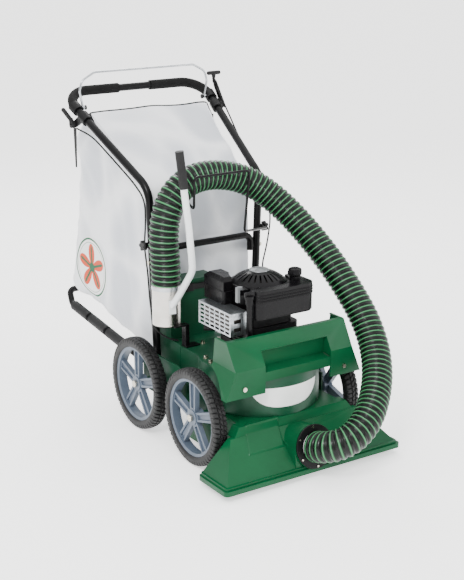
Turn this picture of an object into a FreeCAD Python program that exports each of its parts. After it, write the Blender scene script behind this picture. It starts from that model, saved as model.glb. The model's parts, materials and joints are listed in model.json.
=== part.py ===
import FreeCAD, Part
import math
import os
import Sketcher
from FreeCAD import Placement, Rotation, Vector

# Walk-behind lawn vacuum and mulcher with an on-board hose kit.
# Millimetres, +Z up, the nozzle faces -Y. Z = 0 is the ground.

os.makedirs("parts", exist_ok=True)
doc = FreeCAD.newDocument("LeafVacuum")
sheet = doc.addObject("Spreadsheet::Sheet", "Sizes")

SIZES = {
    "wheelDia": 305, "tyreWidth": 45, "rimDia": 243, "trackWidth": 540,
    "wheelBase": 343, "frontAxleY": -333, "axleDia": 16,
    "runGap": 0.05, "seatGap": 0.02,
    "plateThick": 5, "plateGap": 18, "plateTop": 255, "plateBottom": 118,
    "shaftY": -311, "drumDia": 380, "drumHeight": 140, "drumLift": 12.5,
    "sheetWall": 4, "inletDia": 200, "impellerGap": 22, "bladeHeight": 70,
    "shaftDia": 25.4,
    "ductWidth": 165, "ductLeft": -168, "ductTop": 490, "ductRear": 17,
    "nozzleWidth": 652, "noseLength": 138.5, "groundGap": 20,
    "creaseHeight": 138, "creaseWidth": 472, "portTilt": 14,
    "portHeight": 96, "flangeDia": 134, "hoseDia": 95,
    "shroudWidth": 498, "shroudBottom": 257, "shroudShoulder": 341,
    "shroudTop": 420, "shroudDepth": 136, "archGap": 28,
    "tubeDia": 25.4, "tubeWall": 2, "tubeY": -5, "tubeFoot": 178,
    "footGap": 3, "bendHalf": 208, "bendHeight": 794,
    "barHalf": 272, "barY": 452, "barHeight": 1045, "tubeBend": 80,
    "crossHeight": 594, "foamDia": 33,
    "engineWidth": 250, "engineFront": 126, "engineBase": 38,
    "blowerHeight": 235, "domeDia": 168, "domeHeight": 36,
    "bagHalf": 194, "bagFront": 22, "bagRear": 618, "bagTop": 1000,
    "railHalf": 203, "railDia": 22,
    "wandDia": 91, "wandX": -204, "wandY": -96, "wandFoot": 380,
    "wandLength": 150, "bailDia": 7, "bailHeight": 113,
}


class Size:
    """A number that also remembers the sheet expression it comes from."""

    def __init__(self, value, text):
        self.value, self.text = float(value), text

    def joined(self, other, sign, value):
        text = other.text if isinstance(other, Size) else repr(float(other))
        return Size(value, f"({self.text} {sign} {text})")

    def __add__(self, other):
        return self.joined(other, "+", self.value + number(other))

    def __sub__(self, other):
        return self.joined(other, "-", self.value - number(other))

    def __mul__(self, other):
        return self.joined(other, "*", self.value * number(other))

    def __truediv__(self, other):
        return self.joined(other, "/", self.value / number(other))

    def __radd__(self, other):
        return size(other) + self

    def __rsub__(self, other):
        return size(other) - self

    def __rmul__(self, other):
        return self * other

    def __neg__(self):
        return self * -1


def number(value):
    return value.value if isinstance(value, Size) else float(value)


def size(value):
    return value if isinstance(value, Size) else Size(value, repr(float(value)))


class SizeTable:
    """Reads the sheet: S.wheelDia is the cell's value and its expression."""

    def __getattr__(self, alias):
        return Size(sheet.get(alias), "Sizes." + alias)


for row, (alias, value) in enumerate(SIZES.items(), start=1):
    sheet.set(f"A{row}", alias)
    sheet.set(f"B{row}", str(value))
    sheet.setAlias(f"B{row}", alias)
doc.recompute()
S = SizeTable()
AXES = {"X": Rotation(Vector(0, 0, 1), Vector(1, 0, 0)),
        "Y": Rotation(Vector(0, 0, 1), Vector(0, 1, 0)),
        "Z": Rotation()}
nodes = []


# ---- small tools -------------------------------------------------------

def bind(item, prop, value):
    """Set a property from a size and keep it bound to the sheet."""
    value = size(value)
    item.setExpression(prop, value.text)


def place(item, x=0, y=0, z=0, turn=None):
    item.Placement = Placement(Vector(number(x), number(y), number(z)),
                               turn or Rotation())
    for axis, value in zip("xyz", (x, y, z)):
        bind(item, f"Placement.Base.{axis}", value)
    return item


def box(x, y, z):
    """A Part box from three (low, high) pairs."""
    item = doc.addObject("Part::Box", "Box")
    for prop, span in zip(("Length", "Width", "Height"), (x, y, z)):
        bind(item, prop, size(span[1]) - span[0])
    return place(item, x[0], y[0], z[0])


def rod(radius, length, x, y, z, axis="Z"):
    """A Part cylinder from its base centre along an axis."""
    item = doc.addObject("Part::Cylinder", "Rod")
    bind(item, "Radius", radius)
    bind(item, "Height", length)
    return place(item, x, y, z, AXES[axis] if axis in AXES else axis)


def fuse(*items):
    joined = doc.addObject("Part::MultiFuse", "Fuse")
    joined.Shapes = list(items)
    joined.Refine = True
    return joined


def cut(base, *tools):
    item = doc.addObject("Part::Cut", "Cut")
    item.Base = base
    item.Tool = tools[0] if len(tools) == 1 else fuse(*tools)
    return item


def rounded(item, radius, pick):
    """Fillet the edges that pick(edge) chooses."""
    doc.recompute()
    edges = [(i, number(radius), number(radius))
             for i, e in enumerate(item.Shape.Edges, start=1) if pick(e)]
    done = doc.addObject("Part::Fillet", "Rounded")
    done.Base = item
    done.Edges = edges
    return done


def upright(edge):
    a, b = edge.Vertexes[0].Point, edge.Vertexes[-1].Point
    return abs((b - a).z) > 0.98 * edge.Length > 2


def solid(shape, label="Piece"):
    item = doc.addObject("Part::Feature", label)
    item.Shape = shape
    return item


def keep(item, label):
    """Make an object a finished sub-part of the given name."""
    item.Label = label
    nodes.append(item)
    return item


def sketch(body, role, lift=0):
    plane = next(f for f in body.Origin.OriginFeatures if f.Role == role)
    item = body.newObject("Sketcher::SketchObject", "Sketch")
    item.AttachmentSupport = [(plane, "")]
    item.MapMode = "FlatFace"
    bind(item, "AttachmentOffset.Base.z", lift)
    return item


def pin(item, geo, end, x, y):
    """Fix a sketch point with two bound distances."""
    for kind, axis, value in (("DistanceX", -2, x), ("DistanceY", -1, y)):
        value = size(value)
        if abs(value.value) < 1e-9:
            item.addConstraint(
                Sketcher.Constraint("PointOnObject", geo, end, axis))
            continue
        index = item.addConstraint(
            Sketcher.Constraint(kind, -1, 1, geo, end, value.value))
        item.setExpression(f"Constraints[{index}]", value.text)


def outline(item, points):
    """A closed outline of straight lines through bound points."""
    first = item.GeometryCount
    spots = [Vector(number(x), number(y), 0) for x, y in points]
    count = len(spots)
    for i in range(count):
        item.addGeometry(Part.LineSegment(spots[i], spots[(i + 1) % count]))
    for i in range(count):
        item.addConstraint(Sketcher.Constraint(
            "Coincident", first + i, 2, first + (i + 1) % count, 1))
        pin(item, first + i, 1, *points[i])


def ring(item, x, y, radius):
    geo = item.addGeometry(Part.Circle(
        Vector(number(x), number(y), 0), Vector(0, 0, 1), number(radius)))
    pin(item, geo, 3, x, y)
    index = item.addConstraint(
        Sketcher.Constraint("Radius", geo, number(radius)))
    item.setExpression(f"Constraints[{index}]", size(radius).text)


def new_body(label):
    return keep(doc.addObject("PartDesign::Body", "Body"), label)


def revolve(body, points, groove=False):
    """Turn an (radius, height) outline about the body's Z axis."""
    profile = sketch(body, "XZ_Plane")
    outline(profile, points)
    kind = "PartDesign::Groove" if groove else "PartDesign::Revolution"
    feature = body.newObject(kind, "Turned")
    feature.Profile = profile
    feature.ReferenceAxis = (profile, ["V_Axis"])
    feature.Angle = 360
    profile.Visibility = False
    return feature


def pad(body, profile, length, kind="PartDesign::Pad"):
    feature = body.newObject(kind, "Padded")
    feature.Profile = profile
    bind(feature, "Length", length)
    return feature


def polar(body, feature, count):
    pattern = body.newObject("PartDesign::PolarPattern", "Around")
    pattern.Originals = [feature]
    axis = next(f for f in body.Origin.OriginFeatures if f.Role == "Z_Axis")
    pattern.Axis = (axis, [""])
    pattern.Angle = 360
    pattern.Occurrences = count
    body.Tip = pattern
    return pattern


def slab(points, low, high, along="X"):
    """A prism: (a, b) points across an axis, from low to high on it."""
    low, high = number(low), number(high)
    spots = []
    for a, b in points:
        a, b = number(a), number(b)
        spots.append({"X": Vector(low, a, b), "Y": Vector(a, low, b),
                      "Z": Vector(a, b, low)}[along])
    step = {"X": Vector(1, 0, 0), "Y": Vector(0, 1, 0),
            "Z": Vector(0, 0, 1)}[along]
    face = Part.Face(Part.makePolygon(spots + spots[:1]))
    return face.extrude(step * (high - low))


def route(points, bend=None):
    """A path of straight runs joined by tangent arcs.

    Each arc's radius is bend, or as large as the shorter run leaves room
    for where bend isn't given.
    """
    spots = [Vector(*(number(v) for v in p)) for p in points]
    edges, radii, at = [], [], spots[0]
    for before, corner, after in zip(spots, spots[1:], spots[2:]):
        back, ahead = before - corner, after - corner
        half = (math.pi - back.getAngle(ahead)) / 2
        room = 0.45 * min(back.Length, ahead.Length)
        reach = room if bend is None else min(room * 1.1,
                                              bend * math.tan(half))
        back.normalize()
        ahead.normalize()
        start, end = corner + back * reach, corner + ahead * reach
        radius = reach / math.tan(half)
        middle = (back + ahead).normalize()
        centre = corner + middle * (radius / math.cos(half))
        edges.append(Part.makeLine(at, start))
        edges.append(Part.Arc(start, centre - middle * radius, end).toShape())
        radii.append(radius)
        at = end
    edges.append(Part.makeLine(at, spots[-1]))
    return Part.Wire(edges), radii


def swept(path, radius):
    start = path.Edges[0].valueAt(path.Edges[0].FirstParameter)
    towards = path.Edges[0].tangentAt(path.Edges[0].FirstParameter)
    circle = Part.Wire(Part.makeCircle(number(radius), start, towards))
    return path.makePipeShell([circle], True, False)


def tube(points, radius, wall=None, bend=None):
    """A bent round bar, or a bent tube where a wall is given."""
    path, _ = route(points, bend)
    shape = swept(path, radius)
    if wall is not None:
        shape = shape.cut(swept(path, number(radius) - number(wall)))
    return shape


def mirrored(shape):
    return shape.mirror(Vector(0, 0, 0), Vector(1, 0, 0))


def bar(radius, start, end):
    """A straight round bar between two points."""
    a = Vector(*(number(v) for v in start))
    b = Vector(*(number(v) for v in end))
    return Part.makeCylinder(number(radius), (b - a).Length, a, b - a)


def soft_corners(shape, radius):
    edges = [e for e in shape.Edges if upright(e)]
    return shape.makeFillet(radius, edges)


def rounded_box(x, y, z, radius):
    shape = Part.makeBox(number(x[1]) - number(x[0]),
                         number(y[1]) - number(y[0]),
                         number(z[1]) - number(z[0]),
                         Vector(number(x[0]), number(y[0]), number(z[0])))
    return soft_corners(shape, radius)


# ---- shared places -----------------------------------------------------

axleHeight = S.wheelDia / 2
rearAxleY = S.frontAxleY + S.wheelBase
wheelX = S.trackWidth / 2 - S.tyreWidth / 2
plateOuter = S.trackWidth / 2 - S.tyreWidth - S.plateGap
drumBottom = axleHeight + S.drumLift
deckTop = drumBottom + S.drumHeight
drumRadius = S.drumDia / 2
impellerRadius = drumRadius - S.impellerGap
nozzleFront = S.frontAxleY - S.wheelDia / 2 - S.noseLength
nozzleRear = nozzleFront + 154
shroudFront = S.frontAxleY - S.wheelDia / 2 - 21.5
tubeRadius = S.tubeDia / 2
footHalf = plateOuter - S.plateThick - tubeRadius - S.footGap
tilt = math.radians(number(S.portTilt))
engineFront = S.shaftY - S.engineFront


# ---- wheels and axles --------------------------------------------------

def wheel(name, x_sign, y):
    """A treaded tyre on a five-spoke rim, outer face towards +Z."""
    half = S.tyreWidth / 2
    seat = S.rimDia / 2
    tread = S.wheelDia / 2
    turn = Rotation(Vector(0, 1, 0), 90 * x_sign)
    tyre = new_body("tyre_" + name)
    revolve(tyre, [(seat, half - 4), (seat + 8, half), (tread - 12, half),
                   (tread - 3, half - 4), (tread, half - 10),
                   (tread, 10 - half), (tread - 3, 4 - half),
                   (tread - 12, -half), (seat + 8, -half),
                   (seat, 4 - half)])
    rim = new_body("rim_" + name)
    spoke = sketch(rim, "XY_Plane", -6)
    outline(spoke, [(-12, -13), (S.rimDia / 2 - 5, -17),
                    (S.rimDia / 2 - 5, 17), (-12, 13)])
    polar(rim, pad(rim, spoke, 16), 5)
    channel = sketch(rim, "XY_Plane", 10)
    outline(channel, [(30, -7), (S.rimDia / 2 - 12, -10),
                      (S.rimDia / 2 - 12, 10), (30, 7)])
    groove = pad(rim, channel, 6, "PartDesign::Pocket")
    groove.Reversed = False
    polar(rim, groove, 5)
    revolve(rim, [(seat - 9, 8 - half), (seat, 5 - half), (seat, half - 5),
                  (seat - 9, half - 8)])
    bore = S.axleDia / 2 + S.runGap
    revolve(rim, [(0, 3 - half), (26, 3 - half), (24, half - 9),
                  (0, half - 9)])
    hole = sketch(rim, "XY_Plane", -40)
    ring(hole, 0, 0, bore)
    drilled = pad(rim, hole, 90, "PartDesign::Pocket")
    drilled.Reversed = True
    rim.Tip = drilled
    for item in (tyre, rim):
        place(item, wheelX * x_sign, y, axleHeight, turn)


wheel("front_left", -1, S.frontAxleY)
wheel("front_right", 1, S.frontAxleY)
wheel("rear_left", -1, rearAxleY)
wheel("rear_right", 1, rearAxleY)

hubFace = S.trackWidth / 2 - 9
stubStart = plateOuter - S.plateThick - 12
stubLength = hubFace + 1 - stubStart
keep(fuse(rod(S.axleDia / 2, hubFace * 2 + 2, -hubFace - 1, rearAxleY,
              axleHeight, "X"),
          rod(S.axleDia / 2, stubLength, stubStart, S.frontAxleY,
              axleHeight, "X"),
          rod(S.axleDia / 2, stubLength, -hubFace - 1, S.frontAxleY,
              axleHeight, "X")), "wheel_axles")

nuts = []
for side in (-1, 1):
    for y in (S.frontAxleY, rearAxleY):
        low = hubFace + 1 if side > 0 else -hubFace - 9.5
        nut = rod(11, 8.5, low, y, axleHeight, "X")
        nuts.append(nut)
keep(fuse(*nuts), "axle_caps")


# ---- chassis -----------------------------------------------------------

def side_plate(side):
    """A side plate with both axle holes and a stepped top edge."""
    front, rear = S.frontAxleY - 40, rearAxleY + 45
    low = number(plateOuter - S.plateThick)
    edge = [(front, S.plateBottom), (rear, S.plateBottom),
            (rear, S.plateTop), (S.frontAxleY + 165, S.plateTop),
            (S.frontAxleY + 120, S.plateTop - 40), (front, S.plateTop - 40)]
    plate = slab(edge, low, number(plateOuter))
    return plate if side > 0 else mirrored(plate)


def chassis():
    """Two side plates, two cross channels and the axle spacers."""
    inner = number(plateOuter - S.plateThick)
    rear = number(rearAxleY)
    parts = [side_plate(1), side_plate(-1)]
    parts.append(Part.makeBox(2 * inner, 30, 30, Vector(
        -inner, rear + 10, number(S.plateBottom))))
    parts.append(Part.makeBox(2 * inner, 34, 5, Vector(
        -inner, number(S.shaftY) + number(drumRadius) + 4,
        number(drumBottom) - 5)))
    for y in (number(S.frontAxleY), rear):
        for side in (-1, 1):
            start = number(plateOuter) - 0.01
            spacer = Part.makeCylinder(
                14, number(S.plateGap) + 2.5, Vector(side * start, y,
                                                     number(axleHeight)),
                Vector(side, 0, 0))
            parts.append(spacer)
    shape = parts[0].fuse(parts[1:]).removeSplitter()
    for y in (number(S.frontAxleY), rear):
        hole = Part.makeCylinder(
            number(S.axleDia) / 2 + 0.02, 700,
            Vector(-350, y, number(axleHeight)), Vector(1, 0, 0))
        shape = shape.cut(hole)
    return shape


keep(solid(chassis()), "chassis_frame")


# ---- impeller housing, deck and duct -----------------------------------

def housing():
    """The round volute with its tangential outlet at the left rear."""
    wall = S.sheetWall
    drum = rod(drumRadius, S.drumHeight - wall, 0, S.shaftY, drumBottom)
    outletBack = S.shaftY + drumRadius + 3
    outlet = box((S.ductLeft, S.ductLeft + S.ductWidth),
                 (S.shaftY + 60, outletBack),
                 (drumBottom, deckTop - wall))
    hollow = rod(drumRadius - wall, S.drumHeight - wall * 2, 0, S.shaftY,
                 drumBottom + wall)
    passage = box((S.ductLeft + wall, S.ductLeft + S.ductWidth - wall),
                  (S.shaftY + 60, outletBack + 1),
                  (drumBottom + wall, deckTop - wall + 1))
    mouth = rod(S.inletDia / 2, 30, 0, S.shaftY, drumBottom - 15)
    open_top = rod(drumRadius - wall, wall * 2, 0, S.shaftY,
                   deckTop - wall * 2)
    return cut(fuse(drum, outlet), hollow, passage, mouth, open_top)


keep(housing(), "impeller_housing")


def deck():
    """The flat top plate that carries the engine, with the shaft hole."""
    plate = rod(drumRadius, S.sheetWall, 0, S.shaftY,
                deckTop - S.sheetWall)
    tail = box((S.ductLeft - 3, S.ductLeft + S.ductWidth + 3),
               (S.shaftY + 60, S.shaftY + drumRadius + 3),
               (deckTop - S.sheetWall, deckTop))
    shaft = rod(S.shaftDia / 2 + 6, 30, 0, S.shaftY, deckTop - 15)
    return cut(fuse(plate, tail), shaft)


keep(deck(), "housing_deck")


def exhaust_duct():
    """A sheet chute that turns the outlet up and back into the bag."""
    wall = number(S.sheetWall)
    low, high = number(S.ductLeft), number(S.ductLeft + S.ductWidth)
    front = number(S.shaftY + drumRadius) + 3.4
    base, top = number(drumBottom), number(S.ductTop)
    rear = number(S.ductRear)
    deck_level = number(deckTop)

    def side(gap):
        return [(front - gap, base + gap), (rear + gap, base + gap),
                (rear + gap, top - gap), (rear - 66 + gap, top - gap),
                (rear - 80 + gap, deck_level - gap),
                (front - gap, deck_level - gap)]

    shell = slab(side(0), low, high)
    core = slab(side(wall), low + wall, high - wall)
    shape = shell.cut(core)
    rim = Part.makeBox(high - low + 16, 74, 5, Vector(
        low - 8, rear - 74, top - 5))
    hole = Part.makeBox(high - low - 2 * wall, 90, 12, Vector(
        low + wall, rear - 66 + wall, top - 12))
    lid = Part.makeBox(high - low + 16, 74, 4, Vector(
        low - 8, rear - 74, top))
    inlet = Part.makeBox(high - low - 2 * wall, 8, deck_level - base
                         - 2 * wall, Vector(low + wall, front - 2,
                                            base + wall))
    outlet = Part.makeBox(high - low - 4 * wall, 8, 150, Vector(
        low + 2 * wall, rear - 6, deck_level + 10))
    shape = shape.fuse(rim.cut(hole)).fuse(lid).cut([inlet, outlet])
    return shape.removeSplitter()




def latch_strap():
    """A band with a flat buckle across the front of the duct's top."""
    low, high = number(S.ductLeft), number(S.ductLeft + S.ductWidth)
    y, z = number(S.ductRear) - 67, number(S.ductTop)
    band = Part.makeBox(high - low - 12, 9, 18,
                        Vector(low + 6, y - 4.6, z - 32))
    buckle = rounded_box((low + 52, low + 90), (y - 8.4, y - 1),
                         (z - 35, z - 11), 3)
    return band.fuse(buckle).cut(ductBody).removeSplitter()


ductBody = exhaust_duct()
keep(solid(ductBody), "exhaust_duct")
keep(solid(latch_strap()), "duct_latch_strap")


# ---- impeller and crankshaft -------------------------------------------

def impeller():
    """Six-blade steel fan on a backing disc and a keyed hub."""
    body = new_body("impeller")
    bore = S.shaftDia / 2 + 0.02
    revolve(body, [(bore, -S.bladeHeight), (30, -S.bladeHeight), (34, 0),
                   (impellerRadius, 0), (impellerRadius, 5),
                   (bore, 5)])
    blade = sketch(body, "XY_Plane", -S.bladeHeight)
    outline(blade, [(28, 3), (impellerRadius - 2, 3),
                    (impellerRadius - 2, 8), (28, 8)])
    polar(body, pad(body, blade, S.bladeHeight + 1), 6)
    place(body, 0, S.shaftY, deckTop - S.sheetWall - 22)


impeller()
blowerTop = deckTop + S.blowerHeight
shaft = new_body("crankshaft")
revolve(shaft, [(0, 0), (S.shaftDia / 2, 0), (S.shaftDia / 2, 300),
                (70, 300), (74, 304), (74, 314), (40, 318), (0, 318)])
place(shaft, 0, S.shaftY, deckTop - S.sheetWall - 94)


# ---- floor nozzle ------------------------------------------------------

def rect(x_half, y_front, y_rear, z):
    x, a, b = number(x_half), number(y_front), number(y_rear)
    z = number(z)
    return Part.makePolygon([Vector(-x, a, z), Vector(x, a, z),
                             Vector(x, b, z), Vector(-x, b, z),
                             Vector(-x, a, z)])


def rect_at(x, y, z):
    """A level rectangle from (low, high) pairs."""
    corners = [(x[0], y[0]), (x[1], y[0]), (x[1], y[1]), (x[0], y[1])]
    spots = [Vector(number(a), number(b), number(z)) for a, b in corners]
    return Part.makePolygon(spots + spots[:1])


def nozzle():
    """A wide moulded floor head, open below, with a neck to the inlet."""
    wall = number(S.sheetWall)
    half = number(S.nozzleWidth) / 2
    front, rear = number(nozzleFront), number(nozzleRear)
    low = number(S.groundGap)
    crest, top = number(S.creaseWidth) / 2, number(S.creaseHeight)
    crest_y = front + 132
    lip = Part.makeBox(2 * half, rear - front, 15, Vector(-half, front, low))
    lip = soft_corners(lip, 14)
    step = Part.makeBox(2 * half - 14, rear - front - 8, 7,
                        Vector(7 - half, front + 7, low + 15))
    step = soft_corners(step, 12)
    roof = Part.makeLoft([rect(half - 14, front + 14, rear - 4, low + 20),
                          rect(crest, crest_y - 18, crest_y - 4, top)],
                         True, True)
    # The plenum runs back under the housing to the inlet.
    plenum_half = number(plateOuter - S.plateThick) - 16
    plenum_rear = number(S.shaftY) + 120
    plenum_top = number(drumBottom)
    plenum = Part.makeBox(2 * plenum_half, plenum_rear - crest_y,
                          plenum_top - low,
                          Vector(-plenum_half, crest_y, low))
    neck = Part.makeLoft([rect(crest - 15, crest_y - 17, crest_y + 24,
                               top - 2),
                          rect(crest - 36, crest_y - 10, crest_y + 24,
                               plenum_top)], True, True)
    shape = lip.fuse([step, roof, plenum, neck])
    # Raised housing for the hose port, round on top.
    axis = Vector(0, -math.cos(tilt), math.sin(tilt))
    face = Vector(0, front + 17, number(S.portHeight))
    port = number(S.flangeDia) / 2 + 1
    barrel = Part.makeCylinder(port, 150, face - axis * 150, axis)
    cheek = slab([(front + 12, low + 10), (crest_y, low + 10),
                  (crest_y, number(S.portHeight) + 20),
                  (front + 22, number(S.portHeight))], -port, port)
    shape = shape.fuse([barrel, cheek])
    # Hollow it out from below.
    inner = Part.makeLoft([rect(half - wall - 14, front + 14 + wall * 1.6,
                                rear - 4 - wall, low + 19),
                           rect(crest - wall, crest_y - 15, crest_y - 9,
                                top - wall)], True, True)
    under = Part.makeBox(2 * (half - 14 - wall), rear - front - 22 - wall,
                         22, Vector(wall + 14 - half,
                                    front + 14 + wall, low - 1))
    gallery = Part.makeBox(2 * (plenum_half - wall),
                           plenum_rear - crest_y - wall,
                           plenum_top - low - wall + 1,
                           Vector(wall - plenum_half, crest_y, low - 1))
    inlet = Part.makeCylinder(number(S.inletDia) / 2, 40, Vector(
        0, number(S.shaftY), plenum_top - 20))
    bore = Part.makeCylinder(number(S.hoseDia) / 2 - 4, 200,
                             face - axis * 180, axis)
    ground = Part.makeBox(800, 600, 100, Vector(-400, front - 50,
                                                low - 100))
    seat = Part.makeCylinder(port, 20, face, axis)
    return shape.cut([inner, under, gallery, inlet, bore, ground, seat])


keep(solid(nozzle()), "floor_nozzle")

portAxis = Vector(0, -math.cos(tilt), math.sin(tilt))
portFace = Vector(0, number(nozzleFront) + 17, number(S.portHeight))


def along_port(radius, near, far):
    return Part.makeCylinder(number(radius), far - near,
                             portFace + portAxis * near, portAxis)


def port_flange():
    """A black ring that clamps the hose collar to the port."""
    ring_part = along_port(S.flangeDia / 2, 0, 6)
    return ring_part.cut(along_port(S.hoseDia / 2 - 4, -1, 7))


def port_screws():
    turn = Rotation(Vector(0, 0, 1), portAxis)
    shapes = []
    for k in range(6):
        angle = math.radians(30 + 60 * k)
        reach = number(S.flangeDia) / 2 - 7
        offset = turn.multVec(Vector(reach * math.cos(angle),
                                     reach * math.sin(angle), 0))
        shapes.append(Part.makeCylinder(
            3.2, 2.4, portFace + portAxis * 6 + offset, portAxis))
    return shapes


keep(solid(port_flange()), "hose_port_flange")


# ---- front shroud ------------------------------------------------------

def shroud():
    """A moulded engine guard with a recess between two end blocks."""
    wall = 4.0
    half = number(S.shroudWidth) / 2
    front = number(shroudFront)
    low, mid, top = (number(S.shroudBottom), number(S.shroudShoulder),
                     number(S.shroudTop))
    back = front + number(S.shroudDepth)
    outer = Part.makeLoft([rect(half, front, back, low),
                           rect(half - 34, front, back - 12, mid)],
                          True, True)
    cap = Part.makeLoft([rect(half - 34, front, back - 12, mid),
                         rect(half - 32, front + 47, back - 26, top)],
                        True, True)
    core = Part.makeLoft([rect(half - wall, front + wall, back + 30,
                               low - 1),
                          rect(half - 34 - wall, front + wall, back + 30,
                               mid)], True, True)
    crown = Part.makeLoft([rect(half - 34 - wall, front + wall, back + 30,
                                mid),
                           rect(half - 32 - wall, front + 47 + wall,
                                back + 30, top - wall)], True, True)
    shell = outer.fuse(cap).cut([core, crown])
    # The top is open behind a narrow rolled edge.
    shell = shell.cut(Part.makeBox(2 * half - 80, 200, 60, Vector(
        40 - half, front + 62, top - 30)))
    left, right = 140 - half, half - 115
    ledge = mid - 17
    face = [(front + 24, top - 38), (front + 40, top - 46),
            (front + 43, ledge), (front + 2, ledge - 3),
            (front + 2, low)]
    ahead = [(front + 2, low - 5), (front - 30, low - 5),
             (front - 30, top - 38)]
    shell = shell.cut(slab(face + ahead, left, right))
    skin = [(front + 5.4, low), (front + 5.4, ledge - 7),
            (front + 47, ledge - 4), (front + 44, top - 43),
            (front + 26, top - 34)]
    parts = [shell, slab(face + skin, left - wall, right + wall)]
    cheek = [(front + 1, mid), (front + 1, low), (front + 5, low),
             (front + 5, ledge), (front + 46, ledge + 2),
             (front + 43, top - 42), (front + 24, top - 38)]
    parts.append(slab(cheek, left - wall, left))
    parts.append(slab(cheek, right, right + wall))
    shape = parts[0].fuse(parts[1:]).removeSplitter()
    # The lower edge steps up between the blocks.
    shape = shape.cut(Part.makeBox(right - left, 60, 36, Vector(
        left, front - 20, low - 1)))
    arch = number(S.wheelDia) / 2 + number(S.archGap)
    for side in (-1, 1):
        shape = shape.cut(Part.makeCylinder(arch, 90, Vector(
            side * 190, number(S.frontAxleY), number(axleHeight)),
            Vector(side, 0, 0)))
    return shape


keep(solid(shroud()), "front_shroud")


def shroud_screws():
    shapes = []
    for side in (-1, 1):
        shapes.append(Part.makeCylinder(7, 4, Vector(
            side * 184, number(shroudFront), 284), Vector(0, -1, 0)))
    return shapes


keep(solid(Part.makeCompound(port_screws() + shroud_screws())),
     "panel_screws")


# ---- handle ------------------------------------------------------------

def handle_points(side):
    return [(side * footHalf, S.tubeY, S.tubeFoot),
            (side * S.bendHalf, S.tubeY, S.bendHeight),
            (side * S.barHalf, S.barY, S.barHeight)]


def on_handle(side, share):
    """A point on the upper tube, from the bend (0) to the bar (1)."""
    low, high = handle_points(side)[1:]
    return Vector(*(number(a) + (number(b) - number(a)) * share
                    for a, b in zip(low, high)))


handleRoute = handle_points(-1) + handle_points(1)[::-1]
handlePath, _ = route(handleRoute, number(S.tubeBend))
handleCore = swept(handlePath, tubeRadius)
handleBore = swept(handlePath, tubeRadius - S.tubeWall)
handleSeat = swept(handlePath, tubeRadius + S.seatGap)
keep(solid(handleCore.cut(handleBore)), "handle_frame")


def half_at(z):
    """Half the gap between the lower tubes' axes at a height."""
    foot, knee = number(S.tubeFoot), number(S.bendHeight)
    share = (z - foot) / (knee - foot)
    return (number(footHalf)
            + (number(S.bendHalf) - number(footHalf)) * share)


def cross_tube():
    """A stay with drooping ends between the two lower tubes."""
    z = number(S.crossHeight)
    drop = z - 52
    y = number(S.tubeY)
    inset = number(tubeRadius) + 11.5
    points = [(-half_at(drop) + inset, y, drop),
              (-half_at(z) + inset + 1, y, z),
              (half_at(z) - inset - 1, y, z),
              (half_at(drop) - inset, y, drop)]
    shape = tube(points, 11, 2, 34)
    for side in (-1, 1):
        height = drop + 14
        near = half_at(height) - number(tubeRadius)
        spacer = Part.makeCylinder(6, 3.2, Vector(
            side * (near - 3.1), y, height), Vector(side, 0, 0))
        shape = shape.fuse(spacer)
    return shape.cut(handleSeat)


keep(solid(cross_tube()), "handle_cross_tube")


def handle_bolts():
    """Bolt heads where the lower tubes and the stay are fastened."""
    shapes = []
    for side in (-1, 1):
        for z in (number(S.tubeFoot) + 18, number(S.tubeFoot) + 56):
            shapes.append(Part.makeCylinder(7, 5, Vector(
                side * number(plateOuter), number(S.tubeY), z),
                Vector(side, 0, 0)))
        z = number(S.crossHeight) - 38
        outer = half_at(z) + number(tubeRadius) - 0.4
        shapes.append(Part.makeCylinder(7, 5, Vector(
            side * outer, number(S.tubeY), z), Vector(side, 0, 0)))
    return shapes


def along_handle(side):
    return (on_handle(side, 1) - on_handle(side, 0)).normalize()


bailShare = 0.828
def foam(side):
    """A foam sleeve over the bend and one end of the grip bar."""
    start = on_handle(side, bailShare) + along_handle(side) * 18.5
    sleeve = swept(handlePath, S.foamDia / 2)
    reach = number(S.barHalf) + 60
    inner = 62
    past = Part.makeCylinder(reach, reach, start, along_handle(side))
    half = Part.makeBox(reach, 400, 400, Vector(
        inner if side > 0 else -inner - reach, start.y - 60,
        start.z - 100))
    return sleeve.common(past).common(half).cut(handleSeat)


keep(solid(Part.makeCompound([foam(-1), foam(1)])), "foam_grips")


# ---- bail, levers and starter grip -------------------------------------

bailPivot = on_handle(1, bailShare)
bailInset = 25.0


def bail():
    """A bright wire bail that the operator folds down on the bar."""
    x = bailPivot.x - bailInset
    y, z = bailPivot.y, bailPivot.z
    top = z + number(S.bailHeight)
    points = [(x, y, z), (x + 11, y, z + 55), (x + 1, y, z + 88),
              (x - 45, y, top), (45 - x, y, top), (-x - 1, y, z + 88),
              (-x - 11, y, z + 55), (-x, y, z)]
    shape = tube(points, S.bailDia / 2, None, 30)
    for side in (-1, 1):
        eye = Part.makeCylinder(7, 9, Vector(side * x - 4.5, y, z),
                                Vector(1, 0, 0))
        hole = Part.makeCylinder(4.05, 11, Vector(side * x - 5.5, y, z),
                                 Vector(1, 0, 0))
        shape = shape.fuse(eye).cut(hole)
    return shape


keep(solid(bail()), "bail")


def clamp_block(side, share, length):
    """A plastic block clamped round the upper tube."""
    way = along_handle(side)
    middle = on_handle(side, share)
    outer = Part.makeCylinder(19, length, middle - way * (length / 2), way)
    return outer.cut(Part.makeCylinder(
        number(tubeRadius), length + 2, middle - way * (length / 2 + 1),
        way))


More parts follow.
